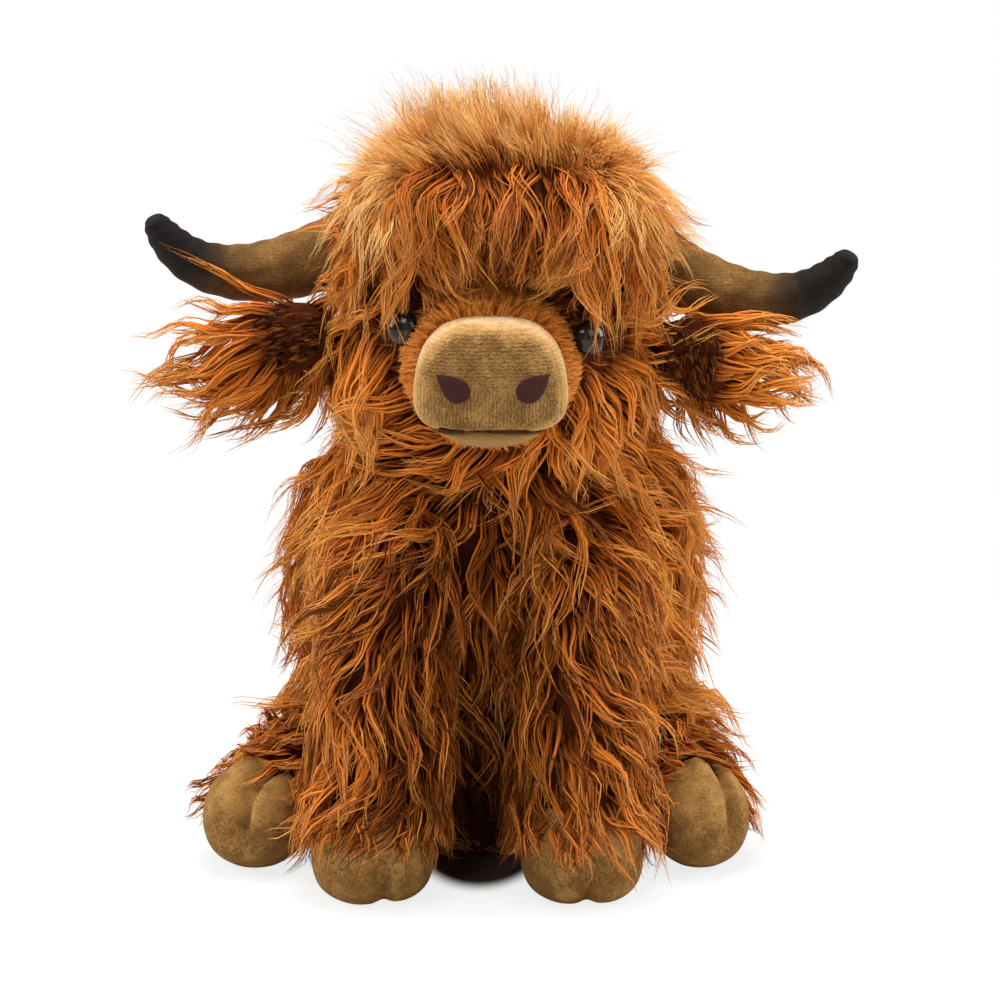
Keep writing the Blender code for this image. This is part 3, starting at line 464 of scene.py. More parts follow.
def about_y(angle):
    """The matrix that turns about +Y, which lifts the -X side for a positive angle."""
    c, s = math.cos(angle), math.sin(angle)
    return np.array(((c, 0, s), (0, 1, 0), (-s, 0, c)))


class LevelForm:
    """A soft form of level ellipses. At a height its outline is
    (x + a cos t, y + b sin t), where a, b and y are smooth curves through the rows, fitted to
    a box. The form may be rolled about its pivot."""

    def __init__(self, low, high, rows, inset, roll=0.0, pivot=(0, 0, 0), sink_top=True):
        low = np.array(low, float)
        high = np.array(high, float)
        table = smooth_rows(rows, TABLE_ROWS)
        depth = table[:, 2]
        middle = table[:, 3]
        scale = (high[1] - low[1]) / ((middle + depth).max() - (middle - depth).min())
        top = high[2] - inset * sink_top
        self.heights = low[2] + (top - low[2]) * table[:, 0]
        self.x = (low[0] + high[0]) / 2
        self.middles = low[1] + (middle - (middle - depth).min()) * scale
        self.half_widths = table[:, 1] / table[:, 1].max() * (high[0] - low[0]) / 2
        self.half_depths = depth * scale
        shrink = 1 - inset / self.half_depths.max()
        self.half_widths = self.half_widths * (1 - inset / self.half_widths.max())
        self.half_depths = self.half_depths * shrink
        self.turn = about_y(roll)
        self.pivot = np.array(pivot, float)

    def placed(self, points):
        """Points of the level form, rolled about the pivot."""
        return (points - self.pivot) @ self.turn.T + self.pivot

    def grid(self, rows, sides):
        """Rings of points, from the foot to the top, closed by a repeated first point."""
        high = np.linspace(0, 1, rows)
        share = np.linspace(0, 1, TABLE_ROWS)
        turn = np.linspace(0, math.tau, sides + 1)
        a = np.interp(high, share, self.half_widths)[:, None]
        b = np.interp(high, share, self.half_depths)[:, None]
        y = np.interp(high, share, self.middles)[:, None]
        z = np.interp(high, share, self.heights)[:, None] + 0 * turn
        flat = np.stack((self.x + a * np.sin(turn), y - b * np.cos(turn), z), -1)
        return self.placed(flat)

    def distance(self, points):
        """How far points lie outside, negative inside: the way out along the bearing at their
        own height, joined with how far they lie past the top or the foot."""
        level = (points - self.pivot) @ self.turn + self.pivot
        z = level[..., 2]
        across = level[..., 0] - self.x
        along = level[..., 1] - np.interp(z, self.heights, self.middles)
        a = np.interp(z, self.heights, self.half_widths)
        b = np.interp(z, self.heights, self.half_depths)
        reach = np.hypot(across, along)
        share = np.hypot(across / a, along / b)
        side = reach - reach / np.maximum(share, TINY)
        past = np.maximum(z - self.heights[-1], self.heights[0] - z)
        return np.where(past > 0, np.hypot(np.maximum(side, 0), past), side)


class LimbForm:
    """A soft form round a line: at each place on it the outline is an ellipse, square to the
    line, of half width r across and r times flat along the flat direction."""

    def __init__(self, places, radii, flat=1.0, flat_way=(0, 1, 0)):
        self.line = np.asarray(places, float)
        self.radii = np.asarray(radii, float)
        self.flat = flat
        self.flat_way = np.array(flat_way, float)

    def grid(self, rows, sides):
        """Rings of points from the line's start to its end, closed by a repeated first point:
        the line's place + r (across cos t + along flat sin t), with round ends."""
        share = np.linspace(0, 1, len(self.line))
        high = np.linspace(0, 1, rows)
        place = np.stack([np.interp(high, share, self.line[:, k]) for k in range(3)], -1)
        radius = np.interp(high, share, self.radii)
        way = unit(np.gradient(place, axis=0))
        across = unit(np.cross(way, self.flat_way))
        along = np.cross(across, way)
        turn = np.linspace(0, math.tau, sides + 1)[None, :, None]
        round_off = np.sqrt(np.clip(1 - (2 * np.clip(high, 0.0, 1) - 1) ** 12, 0.003, 1))
        radius = (radius * round_off)[:, None, None]
        return place[:, None] + radius * (
            across[:, None] * np.cos(turn) + along[:, None] * self.flat * np.sin(turn)
        )

    def distance(self, points):
        """How far points lie outside, negative inside: the least distance to the line, less
        its radius there, with the flat direction stretched by one over its share."""
        best = np.full(points.shape[:-1], np.inf)
        for start, end, low, high in zip(self.line, self.line[1:], self.radii, self.radii[1:]):
            way = end - start
            share = np.clip((points - start) @ way / (way @ way), 0, 1)
            off = points - start - share[..., None] * way
            off = off + (off @ self.flat_way)[..., None] * self.flat_way * (1 / self.flat - 1)
            best = np.minimum(best, np.linalg.norm(off, axis=-1) - low - (high - low) * share)
        return best


def line_between(start, end, rows, radius, bend=(0, 0, 0), inset=0.0):
    """The line and radii of a limb: start + share (end - start) + 4 share (1 - share) bend."""
    table = smooth_rows(rows, 24)
    share = table[:, :1]
    places = np.array(start) * (1 - share) + np.array(end) * share
    places = places + 4 * share * (1 - share) * np.array(bend)
    return places, radius * table[:, 1] - inset


# Forms of the cow, from the frame


def head_roll():
    """How far the head leans, from the places of the two ears."""
    right = JOINTS["ear_right_flap"]
    left = JOINTS["ear_left_flap"]
    return math.atan2(right[2] - left[2], left[0] - right[0])


def head_pivot():
    """The place about which the head leans."""
    low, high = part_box("head_cover")
    neck = JOINTS["head_turn"]
    return np.array((neck[0], neck[1], (low[2] + high[2]) / 2))


def level_form(node, rows, inset, roll=False, sink_top=True):
    """A level form fitted to a node's box."""
    low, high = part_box(node)
    return LevelForm(low, high, rows, inset, head_roll() * roll, head_pivot(), sink_top)


def front_leg_form(name):
    """From the shoulder to the top of the hoof, bent a little forward."""
    low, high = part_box(f"front_hoof_{name}")
    radius = (high[1] - low[1]) / 2
    ankle = ((low[0] + high[0]) / 2, (low[1] + high[1]) / 2, (low[2] + high[2]) * 0.50)
    bend = (0, -0.16 * radius, 0)
    shoulder = JOINTS[f"front_leg_{name}_swing"]
    return LimbForm(*line_between(shoulder, ankle, FRONT_LEG_SHARES, radius, bend, LEG_INSET))


def hind_leg_form(name):
    """From the hip to the hoof."""
    low, high = (np.array(corner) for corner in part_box(f"hind_hoof_{name}"))
    middle = (low + high) / 2
    hip = JOINTS[f"hind_leg_{name}_splay"]
    end = middle + (hip - middle) * 0.12
    radius = (high[2] - low[2]) * 0.60
    return LimbForm(*line_between(hip, end, HIND_LEG_SHARES, radius, inset=LEG_INSET))


def ear_form(name, side, inset=EAR_INSET, size=1.0):
    """A leaf that hangs out and down from the ear's joint."""
    root = JOINTS[f"ear_{name}_flap"]
    low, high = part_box(f"ear_{name}")
    tip_x = high[0] if side > 0 else low[0]
    half_height = (high[2] - low[2]) * 0.46
    tip = (root[0] + (tip_x - root[0]) * 0.74, root[1], low[2] + half_height)
    line, radii = line_between(root, tip, EAR_SHARES, half_height * size, inset=inset)
    return LimbForm(line, np.maximum(radii, 0.002), 0.42)


def tail_forms():
    """The tail's rope and its tuft."""
    root = JOINTS["tail_swing"]
    low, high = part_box("tail")
    tuft_low, tuft_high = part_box("tail_tuft")
    start = np.array((root[0], high[1] - 0.004, low[2] + 0.004))
    end = np.array((root[0], tuft_high[1] - 0.006, tuft_low[2] + 0.006))
    radius = (tuft_high[0] - tuft_low[0]) / 2
    rope = line_between(root, start, TAIL_SHARES, 0.0050, (0, 0.003, 0.004))
    tuft = line_between(start, end, TUFT_SHARES, radius, inset=TAIL_INSET)
    return LimbForm(*rope), LimbForm(*tuft)


def face_form(inset=0.0012):
    """The short-pile panel, a rounded hump in front of the head."""
    low, high = (np.array(corner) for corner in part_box("face_panel"))
    low[1] = low[1] - 0.003
    high[1] = low[1] + (high[0] - low[0]) * 0.92
    high[2] = high[2] - 0.0055
    return LevelForm(low, high, FACE_SHARES, inset)


def every_form():
    """All forms that pile has to stay clear of, by the name of their body."""
    forms = {
        "torso": level_form("body_cover", TORSO_SHARES, BODY_INSET, sink_top=False),
        "head": level_form("head_cover", HEAD_SHARES, HEAD_INSET, True),
        "face": face_form(),
        "muzzle": MuzzleForm(),
        "tail_rope": tail_forms()[0],
        "tail_tuft": tail_forms()[1],
    }
    for name, side in SIDES:
        forms[f"front_leg_{name}"] = front_leg_form(name)
        forms[f"hind_leg_{name}"] = hind_leg_form(name)
        forms[f"ear_{name}"] = ear_form(name, side)
        forms[f"horn_{name}"] = LimbForm(*horn_line(side))
        for end, shares in (("front", HOOF_SHARES), ("hind", HIND_HOOF_SHARES)):
            forms[f"{end}_hoof_{name}"] = LevelForm(*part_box(f"{end}_hoof_{name}"), shares, HOOF_INSET)
    return forms


class MuzzleForm:
    """A rounded box. Round its forward axis the outline is a superellipse,
    |x/a|^p + |z/c|^p = r^p, squarer below than above, and its depth behind the front is a
    smooth curve of r."""

    def __init__(self):
        low, high = (np.array(corner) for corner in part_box("muzzle"))
        self.middle = (low + high) / 2
        self.a = (high[0] - low[0]) / 2
        self.c = (high[2] - low[2]) / 2
        self.front = low[1]
        self.depth = high[1] - low[1]
        self.profile = smooth_rows(MUZZLE_SHARES, TABLE_ROWS)

    def width_at(self, z):
        """The half width at a place up from the middle: it narrows towards the top."""
        return self.a * (1 - MUZZLE_TAPER_SHARE * ramp(z / self.c, -0.5, 1.0))

    def front_at(self, x, z):
        """The front surface's y at places across and up from the middle."""
        p = np.where(z > 0, MUZZLE_POWERS[1], MUZZLE_POWERS[0])
        r = ((np.abs(x) / self.width_at(z)) ** p + (np.abs(z) / self.c) ** p) ** (1 / p)
        rising = np.maximum.accumulate(self.profile[:, 0])
        return self.front + self.depth * np.interp(r, rising, self.profile[:, 1])

    def grid(self, rows, sides):
        """Rings of points from the middle of the front back to the face."""
        turn = np.linspace(0, math.tau, sides + 1)
        cos, sin = np.cos(turn), np.sin(turn)
        p = np.where(sin > 0, MUZZLE_POWERS[1], MUZZLE_POWERS[0])
        reach = (np.abs(cos) ** p + np.abs(sin) ** p) ** (-1 / p)
        share = np.linspace(0, 1, TABLE_ROWS)
        high = np.linspace(0, 1, rows)
        r = np.interp(high, share, self.profile[:, 0])[:, None]
        y = np.interp(high, share, self.profile[:, 1])[:, None]
        z = self.c * r * reach * sin
        x = self.width_at(z) * r * reach * cos
        y = self.front + self.depth * y + 0 * x
        return np.stack((self.middle[0] + x, y, self.middle[2] + z), -1)

    def distance(self, points):
        """How far points lie outside, negative inside, near enough for combing pile."""
        off = np.abs(points - self.middle)
        over = off - np.array((self.a, self.depth / 2, self.c))
        return np.linalg.norm(np.maximum(over, 0), axis=-1) + np.minimum(over.max(-1), 0)


def horn_line(side):
    """A horn's line and radii: out along the span, down by the dip, and up to its tip."""
    table = smooth_rows(HORN_SHARES, 60)
    low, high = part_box(f"horn_{'left' if side > 0 else 'right'}")
    neck = JOINTS["head_turn"]
    span = (high[0] - neck[0]) if side > 0 else (neck[0] - low[0])
    x = neck[0] + side * span * table[:, 0]
    z = neck[2] + HORN_RISE - HORN_DIP * table[:, 1]
    y = -HORN_FORWARD * table[:, 2]
    turn = about_y(head_roll())
    pivot = head_pivot()
    places = (np.stack((x, y, z), -1) - pivot) @ turn.T + pivot
    return places, HORN_RADIUS * table[:, 3]


# Meshes


def mesh_piece(name, points, corners, sizes, uvs, material, smooth=True, streaks=None):
    """An object at the origin, from arrays: points, each face's corners in a row, the faces'
    sizes, and one (u, v) for each corner, with a second set for streaks where given."""
    mesh = bpy.data.meshes.new(name)
    mesh.vertices.add(len(points))
    mesh.vertices.foreach_set("co", np.ascontiguousarray(points, np.float32).ravel())
    mesh.loops.add(len(corners))
    mesh.loops.foreach_set("vertex_index", np.ascontiguousarray(corners, np.int32))
    mesh.polygons.add(len(sizes))
    starts = np.concatenate(((0,), np.cumsum(sizes)[:-1]))
    mesh.polygons.foreach_set("loop_start", starts.astype(np.int32))
    mesh.update(calc_edges=True)
    layer = mesh.uv_layers.new(name="OFBake")
    layer.data.foreach_set("uv", np.ascontiguousarray(uvs, np.float32).ravel())
    if streaks is not None:
        layer = mesh.uv_layers.new(name="Streaks")
        layer.data.foreach_set("uv", np.ascontiguousarray(streaks, np.float32).ravel())
    mesh.polygons.foreach_set("use_smooth", np.full(len(sizes), smooth))
    mesh.materials.append(material)
    mesh.validate()
    piece = bpy.data.objects.new(name, mesh)
    bpy.context.scene.collection.objects.link(piece)
    return piece


def closed_grid(name, rings, material, flip=False):
    """A closed surface from rings of points, whose last point repeats the first: quads
    between the rings, and a fan to the mean point of the first and of the last ring."""
    rings = np.asarray(rings)[:, :-1]
    rows, sides = rings.shape[:2]
    points = np.vstack((rings.reshape(-1, 3), rings[0].mean(0), rings[-1].mean(0)))
    i = np.arange(rows - 1)[:, None] * sides
    j = np.arange(sides)[None]
    k = (j + 1) % sides
    quads = np.stack((i + j, i + k, i + sides + k, i + sides + j), -1).reshape(-1, 4)
    first = np.stack((k[0], j[0], np.full(sides, rows * sides)), -1)
    last = np.stack((j[0], k[0], np.full(sides, rows * sides + 1)), -1)
    last[:, :2] += (rows - 1) * sides
    u = (np.stack((j, j + 1, j + 1, j), -1) / sides * np.ones((rows - 1, 1, 1))).reshape(-1, 4)
    low = np.arange(rows - 1)[:, None, None] / (rows - 1)
    step = np.array((0, 0, 1, 1)) / (rows - 1)
    v = ((low + step) * np.ones((1, sides, 1))).reshape(-1, 4)
    cap_u = np.stack((k[0] * 0 + j[0] + 1, j[0], j[0] + 0.5), -1) / sides
    cap_v = np.stack((j[0] * 0, j[0] * 0, j[0] * 0 + 0.001), -1)
    if flip:
        quads, first, last = quads[:, ::-1], first[:, ::-1], last[:, ::-1]
        u, v, cap_u, cap_v = u[:, ::-1], v[:, ::-1], cap_u[:, ::-1], cap_v[:, ::-1]
    corners = np.concatenate((quads.ravel(), first.ravel(), last.ravel()))
    sizes = np.concatenate((np.full(len(quads), 4), np.full(2 * sides, 3)))
    u = np.concatenate((u.ravel(), cap_u.ravel(), cap_u[:, ::-1].ravel()))
    v = np.concatenate((v.ravel(), cap_v.ravel(), 1 - cap_v.ravel()))
    return mesh_piece(name, points, corners, sizes, np.stack((u, v), -1), material)


def tubes(name, centres, across, along, radii, shades, material, sides=3):
    """Many closed strands in one mesh. Each has rings of a few sides round its centres,
    centre + r (across cos t + along sin t), and ends in a point. Its u runs from the root to
    the tip, and its v is its shade. The streaks' u runs across it, from a place of its own."""
    count, rows = centres.shape[:2]
    rng = np.random.default_rng(count)
    turn = math.tau * np.arange(sides) / sides
    rim = across[:, :, None] * np.cos(turn)[:, None] + along[:, :, None] * np.sin(turn)[:, None]
    rings = centres[:, :-1, None] + radii[:, :-1, None, None] * rim[:, :-1]
    ringed = (rows - 1) * sides
    points = np.concatenate((rings.reshape(count, -1, 3), centres[:, -1:]), 1)
    i = np.arange(rows - 2)[:, None] * sides
    j = np.arange(sides)[None]
    k = (j + 1) % sides
    quads = np.stack((i + j, i + k, i + sides + k, i + sides + j), -1).reshape(-1)
    tip = np.stack((j[0] + ringed - sides, k[0] + ringed - sides, np.full(sides, ringed)), -1)
    base = np.arange(sides)[::-1]
    one = np.concatenate((quads, tip.ravel(), base))
    sizes = np.concatenate((np.full((rows - 2) * sides, 4), np.full(sides, 3), (sides,)))
    first = np.arange(count)[:, None] * (ringed + 1)
    u_of = np.concatenate((np.repeat(np.arange(rows - 1), sides), (rows - 1,))) / (rows - 1)
    v_of = np.concatenate((np.tile(np.arange(sides), rows - 1) / sides - 0.5, (0,))) * 0.03
    u = np.broadcast_to(u_of[one], (count, len(one)))
    v = np.clip(shades[:, None] + v_of[one], 0, 1)
    side_of = np.concatenate((np.tile(np.cos(turn) / 2 + 0.5, rows - 1), (0.5,)))
    lines = 4.6 * side_of[one] + rng.uniform(0, 400, (count, 1))
    length = 1.6 * u_of[one] + rng.uniform(0, 400, (count, 1))
    return mesh_piece(
        name,
        points.reshape(-1, 3),
        (first + one).ravel(),
        np.tile(sizes, count),
        np.stack((u, v), -1).reshape(-1, 2),
        material,
        streaks=np.stack((lines, length), -1).reshape(-1, 2),
    )


# Pile


class Pile:
    """How the pile of one patch grows: sizes in metres, and the rest as shares."""

    def __init__(self, length, spacing, strands, **words):
        self.length = length
        self.spacing = spacing
        self.strands = strands
        self.length_spread = words.get("length_spread", 0.25)
        self.lift = words.get("lift", 0.55)
        self.lay = words.get("lay", 0.008)
        self.turn = words.get("turn", 0.34)
        self.flick = words.get("flick", 0.18)
        self.swirl = words.get("swirl", 0.55)
        self.curl = words.get("curl", 0.0026)
        self.curl_length = words.get("curl_length", 0.032)
        self.radius = words.get("radius", 0.0042)
        self.clump = words.get("clump", 0.82)
        self.frizz = words.get("frizz", 0.0010)
        self.rows = words.get("rows", 8)
        self.width = words.get("width", 1.0)
        self.fine = words.get("fine", 0.35)
        self.smooth = words.get("smooth", 3)


def root_places(form, spacing, rng):
    """Places spread evenly over a form, one for each square of skin of this spacing: one is
    taken each time that the summed area of a fine grid's cells passes another square."""
    grid = form.grid(ROOT_ROWS, ROOT_SIDES)
    corner = grid[:-1, :-1].reshape(-1, 3)
    across = (grid[:-1, 1:] - grid[:-1, :-1]).reshape(-1, 3)
    along = (grid[1:, :-1] - grid[:-1, :-1]).reshape(-1, 3)
    total = np.cumsum(np.linalg.norm(np.cross(across, along), axis=1))
    count = int(total[-1] / spacing**2)
    marks = (np.arange(count) + rng.random(count)) * spacing**2
    cell = np.minimum(np.searchsorted(total, marks), len(total) - 1)
    move = rng.random((2, count, 1))
    return corner[cell] + across[cell] * move[0] + along[cell] * move[1]


def swirl_angle(points, strength, rng):
    """A smooth wandering angle: the sum of four sines of the place, in random directions."""
    waves = rng.normal(size=(SWIRL_WAVES, 3)) * SWIRL_FINENESS
    phases = rng.random(SWIRL_WAVES) * math.tau
    return strength * np.sin(points @ waves.T + phases).sum(-1) / SWIRL_SCALE


def comb(places, normals, pile, flow, clear, rng, length_share):
    """The middle lines of locks. Each starts between the normal and the flow, turns towards
    the flow step by step, and is pushed out where it lies lower than the lay."""
    count = len(places)
    length = pile.length * (1 + pile.length_spread * rng.uniform(-1, 1, count))
    length = length * length_share(places)
    lay = pile.lay * rng.uniform(*LAY_RANGE, count)
    angle = swirl_angle(places, pile.swirl, rng) + rng.normal(0, BEARING_SPREAD, count)
    flick = pile.flick * rng.uniform(*FLICK_RANGE, count)
    lift = np.clip(pile.lift + rng.normal(0, LIFT_SPREAD, count), 0.05, 0.98)[:, None]

    def combed(points, normal):
        tangent = flow(points)
        tangent = unit(tangent - (tangent * normal).sum(-1, keepdims=True) * normal)
        side = np.cross(normal, tangent)
        return tangent * np.cos(angle)[:, None] + side * np.sin(angle)[:, None]

    way = unit(normals * lift + combed(places, normals) * (1 - lift))
    place = places - normals * ROOT_DEPTH
    line = [place]
    for step in range(1, PATH_STEPS):
        share = step / (PATH_STEPS - 1)
        place = place + way * (length / (PATH_STEPS - 1))[:, None]
        normal = outward(clear, place)
        low = lay * min(1.0, share * 2.2) - clear(place)
        place = place + normal * np.maximum(low, 0)[:, None]
        place[:, 2] = np.maximum(place[:, 2], FLOOR_GAP * 6)
        line.append(place)
        target = unit(combed(place, normal) + normal * (flick * share)[:, None])
        way = unit(way * (1 - pile.turn) + target * pile.turn)
    line = np.stack(line, 1)
    for _ in range(pile.smooth):
        line[:, 1:-1] = (line[:, :-2] + 2 * line[:, 1:-1] + line[:, 2:]) / 4
    return line, length


def strands_of(lines, lengths, normals, pile, strand_width, rng):
    """The strands of each lock. A strand keeps beside its lock's line at a distance that
    shrinks towards the tip, while the line winds round itself in a flat curl:
    line + ramp (side h sin(2 pi s / L + p) + normal h/2 cos(2 pi s / L + q)) + offset."""
    count = len(lines) * pile.strands
    lock = np.repeat(np.arange(len(lines)), pile.strands)
    reach = np.clip(rng.normal(REACH_MEAN, REACH_SPREAD, count), *REACH_RANGE)
    share = np.linspace(0, 1, pile.rows)[None] * reach[:, None]
    index = np.clip(share * (PATH_STEPS - 1), 0, PATH_STEPS - 1 - TINY)
    low = index.astype(int)
    part = (index - low)[..., None]
    line = lines[lock[:, None], low] * (1 - part) + lines[lock[:, None], low + 1] * part
    over = np.maximum(share - 1, 0)[..., None] * lengths[lock][:, None, None]
    way = unit(np.gradient(line, axis=1))
    line = line + way * over
    side = unit(np.cross(normals[lock][:, None], way))
    up = np.cross(way, side)

    s = share * lengths[lock][:, None]
    grown = ramp(share, 0.05, 0.55)
    wave = pile.curl * rng.uniform(*CURL_RANGE, len(lines))[lock][:, None] * grown
    curl_length = pile.curl_length * rng.uniform(*CURL_LENGTH_RANGE, len(lines))
    pace = math.tau / curl_length[lock][:, None]
    phase = rng.random((2, len(lines), 1))[:, lock] * math.tau
    phase = phase + rng.normal(0, PHASE_SPREAD, (2, count, 1))
    line = line + side * (wave * np.sin(pace * s + phase[0]))[..., None]
    line = line + up * (wave * 0.55 * np.cos(pace * s * 0.93 + phase[1]))[..., None]

    bearing = rng.random(count) * math.tau
    offset = pile.radius * np.sqrt(rng.random(count))
    loose = np.where(rng.random(count) < LOOSE_STRANDS, LOOSE_CLUMP, 1.0) * pile.clump
    beside = offset[:, None] * (1 - loose[:, None] * share**0.9)
    wander = pile.frizz * np.sin(share * rng.uniform(5, 11, (count, 1)) + bearing[:, None]) * share
    line = line + side * (beside * np.cos(bearing)[:, None] + wander)[..., None]
    line = line + up * (beside * np.sin(bearing)[:, None] * 0.6)[..., None]

    way = unit(np.gradient(line, axis=1))
    side = unit(np.cross(normals[lock][:, None], way))
    up = np.cross(way, side)
    thick = strand_width / 2 * pile.width * rng.uniform(*WIDTH_RANGE, (count, 1))
    thick = thick * np.where(rng.random((count, 1)) < pile.fine, FINE_WIDTH, 1.0)
    radii = thick * (1 - TIP_TAPER * (share / np.maximum(reach, TINY)[:, None]) ** 1.6)
    line[..., 2] = np.maximum(under_ceiling(line[..., 2]), FLOOR_GAP + radii)
    return line, side, up * STRAND_FLATNESS, radii, lock


def steady(value):
    """The same value at every place."""

    def at(places):
        return np.full(len(places), value)

    return at


def grow(
    name, body, slot, form, pile, flow, clear, shade, material, keep=None, share_out=None,
    length=steady(1.0),
):
    """Grows a patch of pile on a form as one or more pieces, which ride on a body. The slot is not
    used. Where share_out is given, it tells which piece a lock belongs to."""
    settings = bpy.context.scene.cow_fur
    rng = np.random.default_rng(settings.seed + sum(map(ord, name)))
    places = root_places(form, pile.spacing, rng)
    normals = outward(form.distance, places)
    if keep is not None:
        kept = keep(places, normals)
        places, normals = places[kept], normals[kept]
    lines, lengths = comb(places, normals, pile, flow, clear, rng, length)
    parts = strands_of(lines, lengths, normals, pile, settings.strand_width, rng)
    line, side, up, radii, lock = parts
    shades = shade(places)[lock] + rng.normal(0, LOCK_SHADE_SPREAD, len(places))[lock]
    shades = np.clip(shades + rng.normal(0, STRAND_SHADE_SPREAD, len(lock)), 0.02, 0.98)
    groups = np.zeros(len(places), int) if share_out is None else share_out(places)
    for number in np.unique(groups):
        mine = groups[lock] == number
        label = name if share_out is None else f"{name}_{number + 1}"
        piece = tubes(label, line[mine], side[mine], up[mine], radii[mine], shades[mine], material)
        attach(piece, body)


def field_of(forms, left_out=()):
    """The distance to the nearest of several forms."""
    used = [form for name, form in forms.items() if name not in left_out]

    def distance(points):
        return np.minimum.reduce([form.distance(points) for form in used])

    return distance


# Materials


def add_node(tree, kind, inputs=(), **settings):
    """A node with these settings. Each input is a plain value, or the socket that feeds it."""
    node = tree.nodes.new(kind)
    for name, value in settings.items():
        setattr(node, name, value)
    for name, value in dict(inputs).items():
        if isinstance(value, bpy.types.NodeSocket):
            tree.links.new(value, node.inputs[name])
        else:
            node.inputs[name].default_value = value
    return node


def math_on(tree, operation, *values, clamp=False):
    """What a Math node's operation gives on these sockets and numbers."""
    inputs = enumerate(values)
    node = add_node(tree, "ShaderNodeMath", inputs, operation=operation, use_clamp=clamp)
    return node.outputs["Value"]


def eased(tree, value, low, high, start=0.0, end=1.0, way="LINEAR"):
    """A socket's value, carried over from between low and high to between start and end."""
    inputs = {"Value": value, "From Min": low, "From Max": high, "To Min": start, "To Max": end}
    node = add_node(tree, "ShaderNodeMapRange", inputs, interpolation_type=way)
    return node.outputs["Result"]


def mixed(tree, factor, first, second):
    """A mix of two colours by a factor socket. Each colour is a socket or a plain colour."""
    inputs = {"Factor": factor, "A": first, "B": second}
    for name in "AB":
        if isinstance(inputs[name], tuple):
            inputs[name] = (*inputs[name], 1)
    return add_node(tree, "ShaderNodeMix", inputs, data_type="RGBA").outputs["Result"]


def colour_stops(tree, factor, stops):
    """The colour that a factor socket picks between these (place, colour) stops."""
    node = add_node(tree, "ShaderNodeValToRGB", {"Fac": factor})
    elements = node.color_ramp.elements
    while len(elements) < len(stops):
        elements.new(0.5)
    for element, (place, colour) in zip(elements, stops):
        element.position = place
        element.color = (*colour, 1)
    return node.outputs["Color"]


def object_place(tree):
    """The piece's own coordinates."""
    return add_node(tree, "ShaderNodeTexCoord").outputs["Object"]


def uv_layer(tree, name):
    """One of the piece's UV maps."""
    return add_node(tree, "ShaderNodeUVMap", uv_map=name).outputs["UV"]


def parts_of(tree, vector):
    """The three parts of a vector socket."""
    return add_node(tree, "ShaderNodeSeparateXYZ", {"Vector": vector}).outputs


def noise(tree, scale, detail):
    """A noise on the piece's own coordinates."""
    inputs = {"Vector": object_place(tree), "Scale": scale, "Detail": detail}
    return add_node(tree, "ShaderNodeTexNoise", inputs).outputs["Fac"]


def bump(tree, shader, height, strength, distance):
    """A bump on the shader, from a height socket."""
    inputs = {"Height": height, "Strength": strength, "Distance": distance}
    normal = add_node(tree, "ShaderNodeBump", inputs).outputs["Normal"]
    tree.links.new(normal, shader.inputs["Normal"])


def new_material(name, roughness, specular=0.3, sheen=0.0, sheen_roughness=0.5):
    """A material with these constants on its shader, its node tree and that shader."""
    material = bpy.data.materials.new(name)
    material.use_nodes = True
    shader = material.node_tree.nodes["Principled BSDF"]
    shader.inputs["Roughness"].default_value = roughness
    shader.inputs["Specular IOR Level"].default_value = specular
    shader.inputs["Sheen Weight"].default_value = sheen
    shader.inputs["Sheen Roughness"].default_value = sheen_roughness
    return material, material.node_tree, shader


def blended(first, second, share):
    """A colour between two others."""
    return tuple(a + (b - a) * share for a, b in zip(first, second))


def pile_material(name, dark, light):
    """Pile: its colour runs from the root to the tip along u, between a dark and a light set of
    colours, which v and fine streaks mix; v holds each strand's random tone and the painted light
    and shade that each patch gives its places. The strands of the least v are darker still, as
    painted shade."""
    material, tree, shader = new_material(name, roughness=0.52, specular=0.16)
    shader.inputs["Specular Tint"].default_value = (1.0, 0.55, 0.25, 1)
    place = parts_of(tree, uv_layer(tree, "OFBake"))
    inputs = {"Vector": uv_layer(tree, "Streaks"), "Scale": 1.0, "Detail": 1.0}
    node = add_node(tree, "ShaderNodeTexNoise", inputs, noise_dimensions="2D")
    streaks = node.outputs["Fac"]
    spread = math_on(tree, "MULTIPLY_ADD", streaks, 2.2, -1.1)
    tone = math_on(tree, "ADD", spread, place["Y"], clamp=True)
    darker, lighter = (colour_stops(tree, place["X"], stops) for stops in (dark, light))
    colour = mixed(tree, tone, darker, lighter)
    # Painted shade: strands of the lowest v, which the chest between the front legs, the eye hollows
    # and the ear linings are given, are mixed towards a near-black colour.
    deep = blended(dark[0][1], BLACK, 0.5)
    colour = mixed(tree, eased(tree, place["Y"], 0.0, 0.30, start=0.10), deep, colour)
    tree.links.new(colour, shader.inputs["Base Color"])
    bump(tree, shader, streaks, strength=0.6, distance=0.0004)
    return material


def long_pile_material():
    """Rust to orange pile with lighter tips."""
    c = bpy.context.scene.cow_colours
    dark = ((0.0, c.shadow), (0.35, blended(c.shadow, c.rust, 0.75)), (1.0, c.rust))
    light = ((0.0, blended(c.shadow, c.rust, 0.6)), (0.40, c.orange), (1.0, c.gold))
    return pile_material("long_pile", dark, light)


def crown_material():
    """The brighter pile of the crown: partly its own paler colour, and partly painted light, for the
    top light that falls on it and shines through it.
    """
    c = bpy.context.scene.cow_colours
    pale = blended(c.gold, (1.0, 0.92, 0.50), 0.46)
    dark = ((0.0, blended(c.shadow, c.rust, 0.8)), (0.35, c.orange), (1.0, c.gold))
    light = ((0.0, blended(c.rust, c.orange, 0.6)), (0.35, c.gold), (1.0, pale))
    return pile_material("crown_pile", dark, light)


def wisp_material():
    """Loose hairs of the crown, which darken to their tips."""
    c = bpy.context.scene.cow_colours
    dark = ((0.0, c.rust), (0.6, c.rust), (1.0, c.shadow))
    light = ((0.0, c.orange), (0.6, c.orange), (1.0, blended(c.shadow, c.rust, 0.5)))
    return pile_material("crown_wisps", dark, light)


